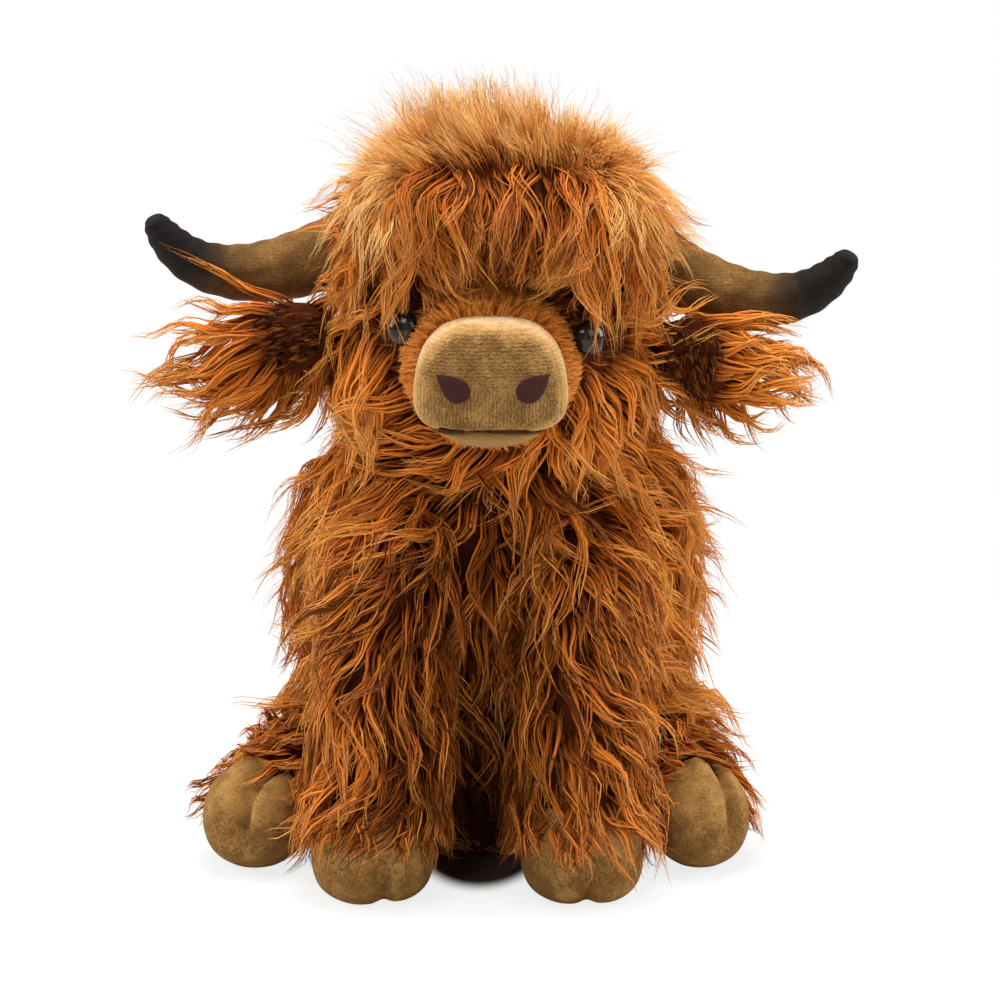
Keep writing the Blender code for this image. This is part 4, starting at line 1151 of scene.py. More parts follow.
def short_pile_material(name="short_pile", depth=0.0):
    """The short orange pile round the muzzle, darker by a share of painted shade towards the
    shadow colour, which the ear lining is given for the shade in its hollow.
    """
    c = bpy.context.scene.cow_colours
    middle = blended(c.rust, c.orange, 0.7)
    bright = blended(c.orange, c.gold, 0.45)
    dark = ((0.0, blended(c.rust, c.shadow, 0.2 + depth)), (1.0, blended(middle, c.shadow, depth)))
    light = ((0.0, blended(middle, c.shadow, depth)), (1.0, blended(bright, c.shadow, depth)))
    return pile_material(name, dark, light)


def mottled_material(name, finish, low, high, scale, strength=0.4, distance=0.0006):
    """A matte finish of a roughness and a specular level, mottled between two (place, colour)
    stops by a grain that is raised too."""
    material, tree, shader = new_material(name, *finish)
    grain = noise(tree, scale, 4.0)
    tree.links.new(colour_stops(tree, grain, (low, high)), shader.inputs["Base Color"])
    bump(tree, shader, grain, strength, distance)
    return material


def backing_material(name="pile_backing", light=0.0):
    """The knitted cloth that the pile grows from, made dark as painted shade so that gaps between the
    locks look shadowed, and lighter by a share towards orange.
    """
    c = bpy.context.scene.cow_colours
    high = blended(c.shadow, c.orange, light)
    low = (0.3, blended(BLACK, high, 0.5))
    return mottled_material(name, (0.95, 0.1), low, (0.75, high), 900.0, 0.5, 0.0004)


def plain_material(name, low, high, scale, roughness):
    """The finish of the seat's cloth and of the pieces inside the cow."""
    return mottled_material(name, (roughness, 0.2), (0.3, low), (0.7, high), scale)


def velour_nodes(name, low, high, paler=0.35, ribs=0.35, turn_height=0.0):
    """Ribbed velour: mottled nap under fine broken ribs, in colour and in height. The ribs run
    across above the turn height, and down below it. It is paler towards the end of v, as a painted
    sheen on the nap."""
    material, tree, shader = new_material(name, 0.90, 0.10, sheen=0.12, sheen_roughness=0.35)
    shader.inputs["Sheen Tint"].default_value = (*high, 1)
    patches = noise(tree, 130.0, 4.0)
    grain = noise(tree, 1250.0, 2.0)
    place = object_place(tree)
    inputs = {
        "Vector": place, "Scale": 250.0, "Distortion": 7.0, "Detail": 3.0, "Detail Scale": 2.6,
    }
    down, across = (
        add_node(tree, "ShaderNodeTexWave", inputs, bands_direction=way).outputs["Fac"]
        for way in "XZ"
    )
    height = parts_of(tree, place)["Z"]
    upper = eased(tree, height, turn_height - RIB_TURN, turn_height + RIB_TURN)
    rib = add_node(tree, "ShaderNodeMix", {"Factor": upper, "A": down, "B": across})
    relief = math_on(tree, "MULTIPLY_ADD", rib.outputs["Result"], ribs, grain)
    tone = math_on(tree, "MULTIPLY_ADD", relief, 0.75, patches)
    # Painted sheen: the velour is paler towards the end of v.
    flat = eased(tree, parts_of(tree, uv_layer(tree, "OFBake"))["Y"], 0.42, 0.70, end=paler)
    tone = math_on(tree, "MULTIPLY", math_on(tree, "ADD", flat, tone), 0.5)
    stops = ((0.42, low), (0.78, high), (1.0, blended(high, WHITE, 0.18)))
    bump(tree, shader, relief, strength=0.6, distance=0.0006)
    return material, tree, shader, colour_stops(tree, tone, stops)


def velour_material(
    name="ribbed_velour", paler=0.75, ribs=0.40, turn_height=0.0, warm=0.0, speckled=False
):
    """The beige velour of the muzzle and the hooves, warmer by a share of the pile's gold. The
    hooves' nap is ruffled in dark specks in a low band."""
    c = bpy.context.scene.cow_colours
    low = blended(c.velour, c.gold, warm * 0.3)
    high = blended(c.velour_light, c.gold, warm)
    material, tree, shader, colour = velour_nodes(name, low, high, paler, ribs, turn_height)
    if speckled:
        specks = colour_stops(tree, noise(tree, 620.0, 3.0), ((0.50, BLACK), (0.60, WHITE)))
        band = eased(tree, parts_of(tree, object_place(tree))["Z"], 0.0, SPECK_HEIGHT)
        levels = ((0.12, BLACK), (0.24, (0.55,) * 3), (0.46, (0.45,) * 3), (0.62, (0.08,) * 3))
        share = math_on(tree, "MULTIPLY", specks, colour_stops(tree, band, levels))
        colour = mixed(tree, share, colour, blended(low, BLACK, 0.5))
    tree.links.new(colour, shader.inputs["Base Color"])
    return material


def lip_material():
    """The paler velour under the mouth."""
    c = bpy.context.scene.cow_colours
    made = velour_nodes("lip_velour", c.lip, blended(c.lip, c.velour_light, 0.6))
    material, tree, shader, colour = made
    tree.links.new(colour, shader.inputs["Base Color"])
    return material


def horn_material(name, fade_from, dark_from):
    """Beige velour that darkens to a sprayed tip: v runs from the root to the tip."""
    c = bpy.context.scene.cow_colours
    high = blended(c.velour, c.velour_light, 0.70)
    material, tree, shader, colour = velour_nodes(name, c.velour, high, paler=0.0, ribs=0.18)
    wobble = noise(tree, 220.0, 4.0)
    along = parts_of(tree, uv_layer(tree, "OFBake"))["Y"]
    edge = math_on(tree, "MULTIPLY_ADD", wobble, 0.10, along)
    fade = eased(tree, edge, fade_from + 0.05, dark_from + 0.05, way="SMOOTHSTEP")
    stops = ((0.4, c.horn_tip), (1.0, blended(c.horn_tip, c.velour, 0.12)))
    colour = mixed(tree, fade, colour, colour_stops(tree, wobble, stops))
    tree.links.new(colour, shader.inputs["Base Color"])
    return material


def thread_material(name):
    """Shiny embroidery thread, whose twist shows as fine slanting lines along u."""
    c = bpy.context.scene.cow_colours
    material, tree, shader = new_material(name, 0.55, 0.12)
    inputs = {"Vector": uv_layer(tree, "OFBake"), "Scale": 9.0, "Distortion": 0.6}
    node = add_node(tree, "ShaderNodeTexWave", inputs, bands_direction="DIAGONAL")
    twist = node.outputs["Fac"]
    stops = ((0.2, blended(c.thread, BLACK, 0.75)), (0.8, c.thread))
    tree.links.new(colour_stops(tree, twist, stops), shader.inputs["Base Color"])
    bump(tree, shader, twist, strength=0.4, distance=0.0001)
    return material


def eye_material():
    """Dark brown plastic under a clear gloss, paler towards the rim of the iris."""
    c = bpy.context.scene.cow_colours
    material, tree, shader = new_material("glossy_eye", roughness=0.05, specular=0.32)
    shader.inputs["Coat Weight"].default_value = 0.20
    shader.inputs["Coat Roughness"].default_value = 0.02
    brown = blended(c.eye, (0.20, 0.09, 0.035), 0.16)
    stops = ((0.0, c.eye), (0.22, c.eye), (0.30, brown), (0.48, c.eye))
    along = parts_of(tree, uv_layer(tree, "OFBake"))["Y"]
    tree.links.new(colour_stops(tree, along, stops), shader.inputs["Base Color"])
    return material


# Flows


def flow_out_and_down(middle, half_width, out, back=0.0):
    """Down, and out to the sides in step with the distance from the middle."""

    def flow(points):
        x = out * np.clip((points[..., 0] - middle) / half_width, -1.2, 1.2)
        y = back * np.clip(points[..., 1] * 18.0, -1, 1)
        return unit(np.stack((x, y, -np.ones_like(x)), -1))

    return flow


def flow_along(way, out_from, out):
    """Along a direction, and away from a line's middle by a share."""

    def flow(points):
        return unit(np.array(way) + out * unit(points - np.array(out_from)))

    return flow


# Operators


class COW_OT_skins(bpy.types.Operator):
    """Make the stuffed fabric skins that the pile grows from"""

    bl_idname = "cow.skins"
    bl_label = "Make Skins"

    def execute(self, context):
        cloth = backing_material()
        forms = every_form()
        for name, node in (("torso", "body_cover"), ("head", "head_cover")):
            grid = forms[name].grid(SKIN_ROWS, SKIN_SIDES)
            grid[..., 2] = np.maximum(grid[..., 2], FLOOR_GAP * 7)
            skin = closed_grid(f"{name}_skin", grid, cloth)
            dress(skin, name, "long_fur", node)
        for name, _ in SIDES:
            for part, body in (("front", f"front_leg_{name}"), ("hind", f"hind_leg_{name}")):
                grid = forms[body].grid(SKIN_ROWS, SKIN_SIDES)
                grid[..., 2] = np.maximum(grid[..., 2], FLOOR_GAP * 3)
                skin = closed_grid(f"{part}_leg_skin_{name}", grid, cloth)
                dress(skin, body, "long_fur", body)
        return {"FINISHED"}


def dress(piece, body, slot, *nodes, fill=0.8):
    """A piece that stands for nodes, attached to its body, with the nodes hidden.
    The slot is not used.
    """
    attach(piece, body)
    if nodes:
        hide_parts(*nodes)


class COW_OT_body_pile(bpy.types.Operator):
    """Grow the long wavy locks of the body"""

    bl_idname = "cow.body_pile"
    bl_label = "Grow Body Pile"

    def execute(self, context):
        fur = context.scene.cow_fur
        forms = every_form()
        torso = forms["torso"]
        clear = field_of(forms)
        others = field_of(forms, ("torso", "face", "muzzle"))
        out = flow_out_and_down(torso.x, torso.half_widths.max(), 1.55, 0.35)
        down = flow_out_and_down(torso.x, torso.half_widths.max(), 0.55, 0.35)

        def flow(points):
            behind = ramp(points[..., 1], 0.025, 0.055)
            high = (ramp(points[..., 2], 0.045, 0.085) * (1 - 0.7 * behind))[..., None]
            return unit(out(points) * high + down(points) * (1 - high))

        def keep(places, normals):
            return (places[:, 2] > 0.006) & (others(places) > -BURIED)

        # Painted light and shade: the pile is toned lighter towards the sides, where the side lamps
        # fall, darker over the chest in the head's shadow, and darkest low on the chest, in the shade
        # between the front legs.
        def shade(places):
            across = np.abs(places[:, 0] - torso.x) / torso.half_widths.max()
            ahead = ramp(-places[:, 1], 0.01, 0.04)
            low = 1 - ramp(places[:, 2], 0.045, 0.085)
            chest_shade = ahead * (1 - ramp(across, 0.1, 0.6))
            return 0.66 + 0.30 * ramp(across, 0.20, 0.8) - chest_shade * (0.44 + 0.60 * low)

        def share_out(places):
            return (places[:, 0] > torso.x).astype(int) + 2 * (places[:, 1] > torso.middles.mean())

        pile = Pile(
            fur.body_length, 0.0064, 10, lay=0.0085, lift=0.52, flick=0.36, rows=9, curl=0.0042,
            curl_length=0.044, swirl=0.58,
        )
        grow(
            "body_pile", "torso", "long_fur", torso, pile, flow, clear, shade, long_pile_material(),
            keep, share_out,
        )
        return {"FINISHED"}


class COW_OT_leg_pile(bpy.types.Operator):
    """Grow the locks of the four legs"""

    bl_idname = "cow.leg_pile"
    bl_label = "Grow Leg Pile"

    def execute(self, context):
        fur = context.scene.cow_fur
        forms = every_form()
        material = long_pile_material()
        clear = field_of(forms)
        for name, side in SIDES:
            body = f"front_leg_{name}"
            leg = forms[body]
            foot = leg.line[-1]
            others = field_of(forms, (body, "face", "muzzle"))
            flow = flow_out_and_down(foot[0], 0.030, 0.16, 0.04)

            def keep(places, normals):
                return (others(places) > -0.012) & (places[:, 2] > 0.022)

            def to_hoof(places):
                room = (places[:, 2] - 0.021) * 1.12 + 0.008
                return np.clip(room, 0.008, fur.leg_length) / fur.leg_length

            # Painted shade: the front legs' pile is toned darker than the body's, and darker on the
            # inner sides that face each other than on the outer sides.
            def shade(places):
                return 0.32 + 0.16 * np.clip(side * (places[:, 0] - foot[0]) / 0.02, -1, 1)

            pile = Pile(
                fur.leg_length, 0.0058, 9, lay=0.0060, lift=0.46, radius=0.0040, swirl=0.38, rows=8,
                smooth=5, curl=0.0034, curl_length=0.038,
            )
            grow(
                f"front_leg_pile_{name}", body, "long_fur", leg, pile, flow, clear, shade, material,
                keep, length=to_hoof,
            )
            grow_hind_leg(name, side, forms, material, clear)
        return {"FINISHED"}


def grow_hind_leg(name, side, forms, material, clear):
    """The locks of one hind leg, out over the top of its hoof."""
    fur = bpy.context.scene.cow_fur
    body = f"hind_leg_{name}"
    leg = forms[body]
    others = field_of(forms, (body,))
    way = unit(leg.line[-1] - leg.line[0]) + np.array((side * 0.35, 0, -0.55))
    flow = flow_along(way, leg.line[0], 0.2)

    def keep(places, normals):
        return (others(places) > -BURIED) & (places[:, 2] > 0.018)

    pile = Pile(fur.leg_length * 0.72, 0.0062, 10, lay=0.005, lift=0.42, radius=0.0036, rows=7)
    grow(
        f"hind_leg_pile_{name}", body, "long_fur", leg, pile, flow, clear, steady(0.56), material,
        keep,
    )


class COW_OT_head_pile(bpy.types.Operator):
    """Grow the locks of the cheeks and the back of the head"""

    bl_idname = "cow.head_pile"
    bl_label = "Grow Head Pile"

    def execute(self, context):
        fur = context.scene.cow_fur
        forms = every_form()
        head = forms["head"]
        face = forms["face"]
        crown = level_form("forelock", CROWN_SHARES, CROWN_INSET, True)
        clear = field_of(forms)
        muzzle = forms["muzzle"].middle
        horns = field_of({name: forms[f"horn_{name}"] for name, _ in SIDES})

        def flow(points):
            away = points - np.array((muzzle[0], muzzle[1] + 0.03, muzzle[2] + 0.004))
            away[..., 1] *= 0.4
            behind = ramp(points[..., 1], -0.040, 0.015)
            low = ramp(muzzle[2] - points[..., 2], -0.010, 0.030)
            down = np.stack((0 * low, 0 * low, -0.15 - 1.4 * behind - 0.5 * low), -1)
            return unit(unit(away) + down)

        def keep(places, normals):
            clear_of = (face.distance(places) > -0.003) & (crown.distance(places) > -0.002)
            return ~bare_face(places) & clear_of & (horns(places) > HORN_ROOM)

        def length(places):
            near_horn = ramp(places[:, 2], muzzle[2] + 0.008, muzzle[2] + 0.024)
            return 1 - 0.50 * near_horn * (1 - ramp(places[:, 1], 0.0, 0.03))

        # Painted light and shade: the pile is toned lighter towards the sides of the head and darker in
        # the middle, beside the muzzle.
        def shade(places):
            across = np.abs(places[:, 0] - head.x) / head.half_widths.max()
            return 0.72 + 0.20 * ramp(across, 0.30, 0.85)

        def share_out(places):
            front = places[:, 1] < head.middles.mean()
            return np.where(front, (places[:, 0] > head.x).astype(int), 2)

        pile = Pile(
            fur.head_length, 0.0063, 10, lay=0.0060, lift=0.52, rows=8, curl=0.0038, curl_length=0.038
        )
        grow(
            "head_pile", "head", "long_fur", head, pile, flow, clear, shade, long_pile_material(),
            keep, share_out, length,
        )

        def round_eyes(places, normals):
            return bare_face(places) & (eye_reach(places) > 0.62) & (face.distance(places) > -0.001)

        short = Pile(
            fur.short_length * 2.2, 0.0032, 5, lay=0.001, lift=0.42, curl=0.0006, radius=0.0018,
            rows=5, frizz=0.0006, width=0.55, flick=0.1,
        )
        # Painted shade: the pile round the eyes is toned near its darkest, for the shadow in the eye
        # hollows.
        grow(
            "eye_pile", "head", "long_fur", head, short, flow, clear, steady(0.10),
            long_pile_material(), round_eyes,
        )
        return {"FINISHED"}


def eye_reach(places):
    """How far places are from the nearer eye, seen from the front, over the size of the
    hollow that the long locks leave free round it."""
    reach = []
    for name, _ in SIDES:
        low, high = (np.array(corner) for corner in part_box(f"eye_{name}"))
        inner = np.array((EYE_HOLLOW_SHIFT if name == "right" else -EYE_HOLLOW_SHIFT, 0, 0))
        off = places - (low + high) / 2 - inner
        across, high = EYE_HOLLOW
        far = 9 * (places[:, 1] > EYE_FRONT)
        reach.append(np.hypot(off[:, 0] / across, off[:, 2] / high) + far)
    return np.minimum(*reach)


def bare_face(places):
    """True where no long locks start: on the bridge up to the crown, and round each eye."""
    low, high = (np.array(corner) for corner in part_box("muzzle"))
    middle = (low + high) / 2
    across = np.abs(places[:, 0] - middle[0])
    front = places[:, 1] < FACE_FRONT
    bridge = front & (across < BRIDGE_HALF_WIDTH) & (places[:, 2] > middle[2] - 0.004)
    brow = front & (across < BROW_HALF_WIDTH) & (places[:, 2] > high[2] + 0.002)
    return bridge | brow | (eye_reach(places) < 1)


class COW_OT_forelock(bpy.types.Operator):
    """Make the crown's skin, its brushed-up pile and the locks over the forehead"""

    bl_idname = "cow.forelock"
    bl_label = "Grow Forelock"

    def execute(self, context):
        fur = context.scene.cow_fur
        forms = every_form()
        crown = level_form("forelock", CROWN_SHARES, CROWN_INSET, True)
        grid = crown.grid(SKIN_ROWS, SKIN_SIDES)
        skin = closed_grid("crown_skin", grid, backing_material("crown_backing"))
        slot = "forelock_fur"
        dress(skin, "head", slot, "forelock")
        material = crown_material()
        top = crown.heights[-1]
        middle = crown.middles.mean()
        forms["crown"] = crown
        clear = field_of(forms)
        horns = field_of({name: forms[f"horn_{name}"] for name, _ in SIDES})

        centre = np.array((crown.x, middle, top - CROWN_CENTRE))

        def ahead(points):
            return 1 - ramp(points[..., 1], middle - 0.020, middle + 0.012)

        def aside(points):
            return ramp(np.abs(points[..., 0] - crown.x), 0.022, 0.042)

        def edge(places):
            return top - TUFT_EDGE - TUFT_EDGE_DROP * np.maximum(aside(places), 1 - ahead(places))

        def above_edge(places):
            return (places[:, 2] > edge(places)) & (horns(places) > HORN_ROOM)

        def swept(places, normals):
            turned = (aside(places) > 0.45) | (ahead(places) < 0.5)
            return above_edge(places) & turned & (places[:, 2] < top - SWEPT_FROM)

        def upper(places, normals):
            low = places[:, 2] < top - UPRIGHT_TO
            return above_edge(places) & ~(swept(places, normals) & low)

        def shorter_aside(places):
            across = places[:, 0] - crown.x
            tuft = 0.84 - 0.30 * ramp(np.abs(across + 0.008), 0.014, 0.040)
            return tuft * (1 + 0.10 * np.sin(places[:, 0] * 210.0 + places[:, 1] * 90.0))

        def up_flow(points):
            away = unit(points - np.array((crown.x + 0.014, middle + 0.004, top - 0.026)))
            rise = 0.10 + 1.1 * ahead(points) * (1 - aside(points))
            return unit(away + np.stack((0 * rise, 0 * rise, rise), -1))

        # Painted light: the tuft is toned darker at its foot and lighter up from its edge, for the top
        # light that falls on it.
        def bright(places):
            above = places[:, 2] - edge(places)
            return 0.26 + 0.72 * ramp(above, 0.0, 0.0085)

        def by_front(places):
            return (places[:, 1] > middle).astype(int)

        fluff = Pile(
            fur.crown_length, 0.0036, 10, lay=0.003, lift=0.70, turn=0.05, curl=0.0016,
            curl_length=0.026, clump=0.35, radius=0.0046, rows=6, flick=0.1, swirl=0.55,
            frizz=0.0014, width=0.42, fine=0.4, length_spread=0.30,
        )
        grow(
            "crown_pile", "head", slot, crown, fluff, up_flow, clear, bright, material, upper,
            by_front, shorter_aside,
        )

        def side_flow(points):
            away = unit(points - centre)
            return unit(away * np.array((1, 1, 0.3)) + np.array((0, 0, -0.55)))

        sides = Pile(
            fur.crown_length * 1.15, 0.0042, 10, lay=0.004, lift=0.42, turn=0.14, curl=0.0022,
            curl_length=0.034, clump=0.60, radius=0.0044, rows=7, flick=0.40, swirl=0.45,
            frizz=0.0012, width=0.50, length_spread=0.30,
        )
        grow(
            "crown_side_pile", "head", slot, crown, sides, side_flow, clear, bright, material, swept
        )
        wisps = Pile(
            fur.crown_length * 1.70, 0.0046, 1, lay=0.0, lift=0.74, turn=0.04, curl=0.0014,
            curl_length=0.022, clump=0.0, rows=8, swirl=0.5, width=0.22, fine=0.0, length_spread=0.2,
        )
        grow(
            "crown_wisps", "head", slot, crown, wisps, up_flow, clear, bright, wisp_material(),
            upper, length=shorter_aside,
        )

        def behind(places, normals):
            low = (places[:, 2] < edge(places) + 0.004) & (places[:, 2] > top - BACK_LOCKS_TO)
            return low & (ahead(places) < 0.6) & (horns(places) > HORN_ROOM)

        def back_flow(points):
            away = unit(points - centre)
            return unit(away + np.array((0, 0.2, -0.9)))

        locks_material = long_pile_material()
        back = Pile(fur.head_length * 0.8, 0.0068, 9, lay=0.007, lift=0.55, rows=7)
        grow(
            "crown_back_pile", "head", slot, crown, back, back_flow, clear, steady(0.62),
            locks_material, behind,
        )

        def front(places, normals):
            overlap = 0.006 - 0.008 * aside(places)
            low = (places[:, 2] < edge(places) + overlap) & (places[:, 2] > top - FORELOCK_TO)
            return low & (ahead(places) > 0.25) & (horns(places) > HORN_ROOM)

        def fall(points):
            x = np.clip((points[..., 0] - crown.x) / 0.045, -1.2, 1.2)
            low = ramp(top - points[..., 2], 0.010, 0.042)
            turned = x * (0.34 * np.abs(x) - (0.52 - 0.20 * np.abs(x)) * low)
            return unit(np.stack((turned, -0.25 + 0.15 * low, -1.0 - 0 * x), -1))

        # Painted shade: the locks are toned darker in the middle, in the recess under the crown, and
        # lighter towards the sides.
        def warm(places):
            return 0.26 + 0.40 * ramp(np.abs(places[:, 0] - crown.x), 0.004, 0.036)

        def to_brow(places):
            across = np.abs(places[:, 0] - crown.x)
            end = crown.heights[0] + 0.009 - 0.020 * ramp(across, 0.014, 0.040)
            return np.clip((places[:, 2] - end) * 1.25 + 0.008, 0.012, 1) / fur.forelock_length

        locks = Pile(
            fur.forelock_length, 0.0050, 13, lay=0.0085, lift=0.34, curl=0.0040, curl_length=0.044,
            flick=0.16, swirl=0.26, length_spread=0.18, rows=10, width=0.7, clump=0.75, smooth=9,
        )
        grow(
            "forelock_locks", "head", slot, crown, locks, fall, clear, warm, locks_material, front,
            length=to_brow,
        )
        return {"FINISHED"}


class COW_OT_ears(bpy.types.Operator):
    """Make the two ears, their linings and their hanging locks"""

    bl_idname = "cow.ears"
    bl_label = "Make Ears"

    def execute(self, context):
        fur = context.scene.cow_fur
        forms = every_form()
        material = long_pile_material()
        # Painted shade: the lining is darkened by 0.80 towards the shadow colour, for the dark hollow
        # inside each ear.
        lining = short_pile_material("ear_lining", 0.80)
        cloth = backing_material("ear_backing")
        for name, side in SIDES:
            body = f"ear_{name}"
            leaf = forms[body]
            skin = closed_grid(f"ear_skin_{name}", leaf.grid(30, 40), cloth)
            dress(skin, body, "long_fur", body, fill=0.4)
            others = field_of(forms, (body, f"horn_{name}"))
            root = leaf.line[0]
            centre = root + np.array((side * 0.012, 0, 0.006))
            flow = flow_along((side * 0.44, 0.0, -0.02), centre, 1.0)
            clear = field_of({"leaf": leaf, "head": forms["head"], "horn": forms[f"horn_{name}"]})

            def outer(places, normals):
                inner = (normals[:, 1] < -0.45) & (np.abs(places[:, 0] - root[0]) < 0.017)
                return ~inner & (others(places) > -0.001)

            # Painted shade: the ear's locks are toned darker near its root, under the horn, and lighter
            # towards the tip.
            def shade(places):
                return 0.56 + 0.26 * ramp(np.abs(places[:, 0] - root[0]), 0.01, 0.035)

            pile = Pile(
                fur.ear_length * (0.86 - 0.14 * side), 0.0056, 13, lay=0.0040, lift=0.42,
                radius=0.0034, flick=0.20, rows=9, clump=0.90, length_spread=0.35, curl_length=0.040,
            )
            grow(
                f"ear_pile_{name}", body, "long_fur", leaf, pile, flow, clear, shade, material, outer
            )
            make_lining(name, side, lining)
        return {"FINISHED"}


def make_lining(name, side, material):
    """The soft lining in the front of an ear, a thin leaf set into it."""
    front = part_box(f"ear_lining_{name}")[0][1]
    leaf = ear_form(name, side, 0.0, 0.58)
    keep = slice(3, -9)
    line = leaf.line[keep] + np.array((0, front - leaf.line[0][1] + 0.0042, 0))
    form = LimbForm(line, leaf.radii[keep], 0.26)
    cloth = backing_material("lining_backing")
    piece = closed_grid(f"ear_lining_leaf_{name}", form.grid(24, 36), cloth)
    dress(piece, f"ear_{name}", "short_pile", f"ear_lining_{name}", fill=0.3)
    pile = Pile(
        0.006, 0.0024, 3, lay=0.0, lift=0.5, curl=0.0003, radius=0.0014, rows=4, frizz=0.0003
    )
    flow = flow_along((side, 0, -0.5), line[0], 0.1)

    def ahead(places, normals):
        return normals[:, 1] < -0.1

    # Painted shade: the lining's pile is toned near its darkest, on the darkest backing cloth, for the
    # shade in the ear's hollow.
    grow(
        f"ear_lining_pile_{name}", f"ear_{name}", "short_pile", form, pile, flow, form.distance,
        steady(0.08), material, ahead,
    )


class COW_OT_tail(bpy.types.Operator):
    """Make the tail and its tuft"""

    bl_idname = "cow.tail"
    bl_label = "Make Tail"

    def execute(self, context):
        fur = context.scene.cow_fur
        rope, tuft = tail_forms()
        cloth = backing_material("tail_backing")
        material = long_pile_material()
        dress(closed_grid("tail_skin", rope.grid(24, 24), cloth), "tail", "long_fur", "tail", fill=0.7)
        tuft_skin = closed_grid("tail_tuft_skin", tuft.grid(24, 24), cloth)
        dress(tuft_skin, "tail", "long_fur", "tail_tuft", fill=0.5)
        way = unit(tuft.line[-1] - tuft.line[0])
        short = Pile(0.012, 0.0034, 5, lay=0.001, lift=0.4, curl=0.0008, radius=0.0018, rows=6)
        long = Pile(
            fur.leg_length * 0.62, 0.0042, 8, lay=0.001, lift=0.25, radius=0.0026, swirl=0.3,
            flick=0.0,
        )
        for name, form, pile in (("tail_pile", rope, short), ("tail_tuft_pile", tuft, long)):
            flow = flow_along(way, form.line[0], 0.1)
            grow(
                name, "tail", "long_fur", form, pile, flow, form.distance, steady(0.55), material
            )
        return {"FINISHED"}


class COW_OT_face(bpy.types.Operator):
    """Make the short-pile panel, the muzzle, the lip, the mouth line and the nostrils"""

    bl_idname = "cow.face"
    bl_label = "Make Face"

    def execute(self, context):
        make_face_panel()
        form = MuzzleForm()
        velour = velour_material(turn_height=form.middle[2] - 0.002)
        muzzle = closed_grid("muzzle_velour", seamed(form, form.grid(*MUZZLE_GRID)), velour, True)
        dress(muzzle, "head", "velour", "muzzle", fill=0.9)
        make_lip()
        make_mouth(form)
        make_nostrils(form)
        return {"FINISHED"}


def seamed(form, grid):
    """The muzzle's points, with a shallow seam round its front panel: they sink by
    0.6 mm exp(-(d/w)^2), where d is the distance to the seam's own reach share."""
    middle = grid[:1].mean(1, keepdims=True)
    x = (grid[..., 0] - form.middle[0]) / form.a
    z = (grid[..., 2] - form.middle[2]) / form.c
    p = np.where(z > 0, MUZZLE_POWERS[1], MUZZLE_POWERS[0])
    reach = (np.abs(x) ** p + np.abs(z) ** p) ** (1 / p)
    depth = (grid[..., 1] - form.front) / form.depth
    seam = np.exp(-(((depth - 0.17) / 0.022) ** 2)) * (reach > 0.8) * (1 - ramp(z, 0.1, 0.7))
    inwards = unit(grid - (middle + np.array((0, form.depth * 0.6, 0))))
    return grid - inwards * (0.0007 * seam)[..., None]


def make_face_panel():
    """The short-pile hump behind the muzzle."""
    fur = bpy.context.scene.cow_fur
    form = face_form()
    skin = closed_grid("face_panel_skin", form.grid(40, 60), backing_material("face_backing", 0.55))
    dress(skin, "head", "short_pile", "face_panel", fill=0.7)
    muzzle = MuzzleForm()
    head = level_form("head_cover", HEAD_SHARES, HEAD_INSET, True)
    pile = Pile(
        fur.short_length, 0.00150, 5, lay=0.0, lift=0.76, turn=0.20, curl=0.0003, curl_length=0.004,
        radius=0.0012, rows=4, frizz=0.0003, width=0.46, swirl=0.4, flick=0.3,
    )

    def flow(points):
        away = points - muzzle.middle
        away[..., 1] *= 0.2
        return unit(away)

    def keep(places, normals):
        return (muzzle.distance(places) > -0.0042) & (head.distance(places) > -0.002)

    def longer_above(places):
        edge = muzzle.middle[2] + muzzle.c
        return 1 + 0.5 * ramp(places[:, 2], edge - 0.006, edge)

    grow(
        "face_pile", "head", "short_pile", form, pile, flow, form.distance, steady(0.72),
        short_pile_material(), keep, length=longer_above,
    )


def make_lip():
    """The pale strip under the mouth: a flattened round box, tucked under the muzzle."""
    low, high = (np.array(corner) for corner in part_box("lower_lip"))
    middle = (low + high) / 2
    size = (high - low) / 2
    turn = np.linspace(0, math.tau, 121)
    rise = np.linspace(-0.5, 0.5, 33)[:, None] * math.pi
    power = 2 / 2.6
    level = np.sign(np.sin(turn)) * np.abs(np.sin(turn)) ** power
    ahead = np.sign(np.cos(turn)) * np.abs(np.cos(turn)) ** power
    waist = np.cos(rise) ** 0.55
    x = middle[0] + size[0] * waist * level
    y = middle[1] - size[1] * waist * ahead
    z = middle[2] + 0.0016 + (size[2] + 0.0009) * np.sin(rise) + 0 * turn
    z = z + 0.0042 * ((x - middle[0]) / size[0]) ** 2 * ramp(-np.sin(rise), -0.6, 0.6)
    y = y - 0.0008 + 0.0006 * ramp(np.sin(rise), -0.4, 0.9)
    piece = closed_grid("lower_lip_velour", np.stack((x, y, z), -1), lip_material())
    dress(piece, "head", "pale_velour", "lower_lip", fill=0.8)


def cord_rings(line, radius, sides=10):
    """Rings round a line: place + r (across cos t + up sin t), with small round ends."""
    way = unit(np.gradient(line, axis=0))
    across = unit(np.cross(way, np.array((0, 0, 1.0))))
    up = np.cross(across, way)
    share = np.linspace(-1, 1, len(line))
    r = (radius * np.sqrt(np.clip(1 - share**16, 0.02, 1)))[:, None, None]
    turn = np.linspace(0, math.tau, sides + 1)[None, :, None]
    return line[:, None] + r * (across[:, None] * np.cos(turn) + up[:, None] * np.sin(turn))


